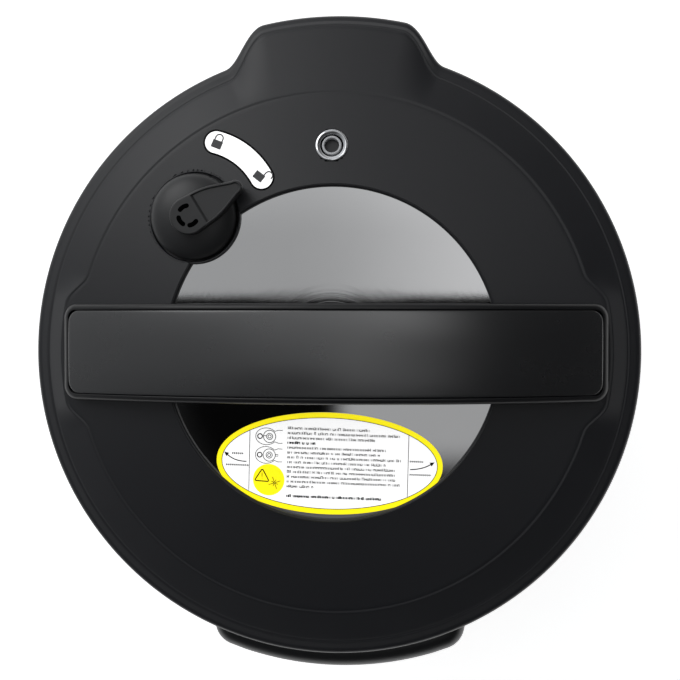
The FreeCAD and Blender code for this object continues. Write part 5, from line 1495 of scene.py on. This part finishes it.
@dataclass
class Studio:
    """Pale floor, painted surroundings, one large soft lamp and the camera above the lid."""

    camera_at: Tuple[float, float, float] = (0.04625, 0.01845, 0.842)
    aim: Tuple[float, float, float] = (0.00252, 0.00588, 0.242)
    lens: float = 63.43
    floor_half: float = 30.0

    def _floor(self) -> None:
        """Square floor at height 0 with a faint unevenness."""
        u = np.linspace(-self.floor_half, self.floor_half, 9)
        x, y = np.meshgrid(u, u, indexing="ij")
        shell = Shell.grid(np.stack([x, y, 0 * x - 0.0002], axis=-1) / MM)
        obj = shell.mesh("studio_floor")
        if obj.data.polygons[0].normal.z < 0:
            obj.data.flip_normals()
        mat = Finish("studio_white", (0.86, 0.86, 0.86), 0.9, mottle=0.01, depth=0.0).material()
        shader = next(n for n in mat.node_tree.nodes if n.type == "BSDF_PRINCIPLED")
        shader.inputs["Emission Color"].default_value = (1, 1, 1, 1)
        shader.inputs["Emission Strength"].default_value = 0.80
        obj.data.materials.append(mat)

    def _world(self) -> None:
        """Surroundings painted by direction: brightness sums smooth steps of the slopes x/z and y/z."""
        world = bpy.data.worlds.new("studio_world")
        world.use_nodes = True
        bpy.context.scene.world = world
        tree = world.node_tree
        tree.nodes.clear()
        new, link = tree.nodes.new, tree.links.new
        out, back = new("ShaderNodeOutputWorld"), new("ShaderNodeBackground")
        link(back.outputs["Background"], out.inputs["Surface"])
        place, split = new("ShaderNodeTexCoord"), new("ShaderNodeSeparateXYZ")
        link(place.outputs["Generated"], split.inputs[0])

        def math_node(kind: str, a: Value, b: Optional[Value] = None) -> bpy.types.NodeSocket:
            """Result of one Math node."""
            node = new("ShaderNodeMath")
            node.operation = kind
            for i, v in enumerate((a, b)):
                if isinstance(v, (int, float)):
                    node.inputs[i].default_value = v
                elif v is not None:
                    link(v, node.inputs[i])
            return node.outputs[0]

        def step(v: Value, lo: float, hi: float) -> bpy.types.NodeSocket:
            """Smooth step from 0 at lo to 1 at hi; it falls when lo is the greater."""
            node = new("ShaderNodeMapRange")
            node.interpolation_type = "SMOOTHSTEP"
            node.inputs["From Min"].default_value = min(lo, hi)
            node.inputs["From Max"].default_value = max(lo, hi)
            node.inputs["To Min"].default_value = 0.0 if lo < hi else 1.0
            node.inputs["To Max"].default_value = 1.0 if lo < hi else 0.0
            link(v, node.inputs["Value"])
            return node.outputs["Result"]

        def times(*values: Value) -> bpy.types.NodeSocket:
            """Product of values."""
            total = values[0]
            for value in values[1:]:
                total = math_node("MULTIPLY", total, value)
            return total

        def plus(*values: Value) -> bpy.types.NodeSocket:
            """Sum of values."""
            total = values[0]
            for value in values[1:]:
                total = math_node("ADD", total, value)
            return total

        x, y = split.outputs["X"], split.outputs["Y"]
        z = math_node("MAXIMUM", split.outputs["Z"], 0.05)
        u, v = math_node("DIVIDE", x, z), math_node("DIVIDE", y, z)
        flat_r = math_node("SQRT", plus(times(x, x), times(y, y), 1e-6))
        facing = math_node("DIVIDE", plus(times(x, -0.669), times(y, 0.743)), flat_r)
        half = plus(times(facing, 0.5), 0.5)
        far = plus(times(half, half, half, 0.60), 0.05)
        upper = times(step(v, 0.0530, 0.0580), plus(times(step(u, -0.15, 0.22), 0.62), 0.84,
                                                    times(step(v, 0.14, 0.25), 0.22)))
        beside = times(step(v, -0.085, -0.035), step(v, 0.0285, 0.0265), step(u, 0.30, 0.02), 1.05)
        lower = times(step(v, -0.235, -0.165), step(v, -0.07, -0.085), step(u, -0.088, -0.045), 0.85)
        rim = times(step(v, -0.262, -0.285), 0.30)
        near = plus(upper, lower, rim, beside, 0.004)
        tilt = math_node("DIVIDE", flat_r, z)
        away = step(tilt, 0.30, 0.62)
        sky = plus(times(near, math_node("SUBTRACT", 1.0, away)), times(far, away))
        rise = split.outputs["Z"]
        shade = plus(sky, times(step(rise, 0.30, 0.02), 0.25), times(step(rise, 0.02, 0.0), 0.6))
        tint = new("ShaderNodeMix")
        tint.data_type = "RGBA"
        tint.inputs[6].default_value = (0.96, 0.98, 1.0, 1)
        tint.inputs[7].default_value = (1.0, 1.0, 1.0, 1)
        link(step(u, -1.0, 1.0), tint.inputs[0])
        link(tint.outputs[2], back.inputs["Color"])
        link(shade, back.inputs["Strength"])

    def _lamp(self) -> None:
        """One large soft area lamp above the upper left."""
        data = bpy.data.lights.new("studio_key", "AREA")
        data.shape = "DISK"
        data.size = 1.6
        data.energy = 14.0
        lamp = bpy.data.objects.new("studio_key", data)
        bpy.context.scene.collection.objects.link(lamp)
        lamp.location = (-1.25, 1.45, 1.9)
        aim = np.array([0, 0, 0.25]) - np.array(lamp.location)
        lamp.rotation_euler = self._look(aim)

    @staticmethod
    def _look(direction: Array) -> Tuple[float, float, float]:
        """Euler angles that point an object's -Z along a direction, with +Y kept upwards in plan."""
        back = -Vector([float(c) for c in direction]).normalized()
        right = Vector((0, 1, 0)).cross(back).normalized()
        up = back.cross(right)
        return tuple(Matrix((right, up, back)).transposed().to_euler())

    def _camera(self) -> None:
        """Camera straight above the right of the lid's middle."""
        data = bpy.data.cameras.new("studio_camera")
        data.lens, data.sensor_width = self.lens, 36.0
        data.clip_start, data.clip_end = 0.01, 50.0
        cam = bpy.data.objects.new("studio_camera", data)
        bpy.context.scene.collection.objects.link(cam)
        cam.location = self.camera_at
        cam.rotation_euler = self._look(np.array(self.aim) - np.array(self.camera_at))
        bpy.context.scene.camera = cam

    def build(self) -> None:
        """Sets the stage up and keeps display colours plain."""
        self._floor()
        self._world()
        self._lamp()
        self._camera()
        bpy.context.scene.view_settings.view_transform = "Standard"
        bpy.context.scene.view_settings.look = "None"


# ---------------------------------------------------------------- assembly

def dress_nodes() -> None:
    """Gives every node of the frame the finish of its material slot."""
    slots = {p["node"]: p["material_slot"] for p in frame["record"]["subparts"]}
    for name, obj in frame["nodes"].items():
        finish = SLOT_FINISHES[slots[name]]
        obj.data.materials.clear()
        obj.data.materials.append(finish.material())


def main() -> None:
    """Builds every piece in order and sets the stage."""
    logging.basicConfig(level=logging.INFO, format="%(message)s")
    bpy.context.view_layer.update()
    dress_nodes()
    knob_at = joint_axis("knob_turn")
    low, high = box_mm("float_bush")
    float_at = (float(low[0] + high[0]) / 2, float(low[1] + high[1]) / 2)
    cover = LidCover()
    dome = SteelDome()
    pieces: List[Piece] = [cover.build(knob_at, float_at), KnobWell(knob_at, cover).build(),
                           dome.build(knob_at, cover.knob_hole_r)]
    pieces += Handle().build(cover)
    pieces += SteamKnob(knob_at).build()
    pieces += FloatBush(float_at, cover).build()
    pieces += InfoLabel(dome).build()
    pieces += ScaleLabel(knob_at, cover).build()
    pieces += ControlPanel().build()
    for piece in pieces:
        piece.place()
    Studio().build()
    LOG.info("%d pieces", len(pieces))


if __name__ == "__main__":
    main()
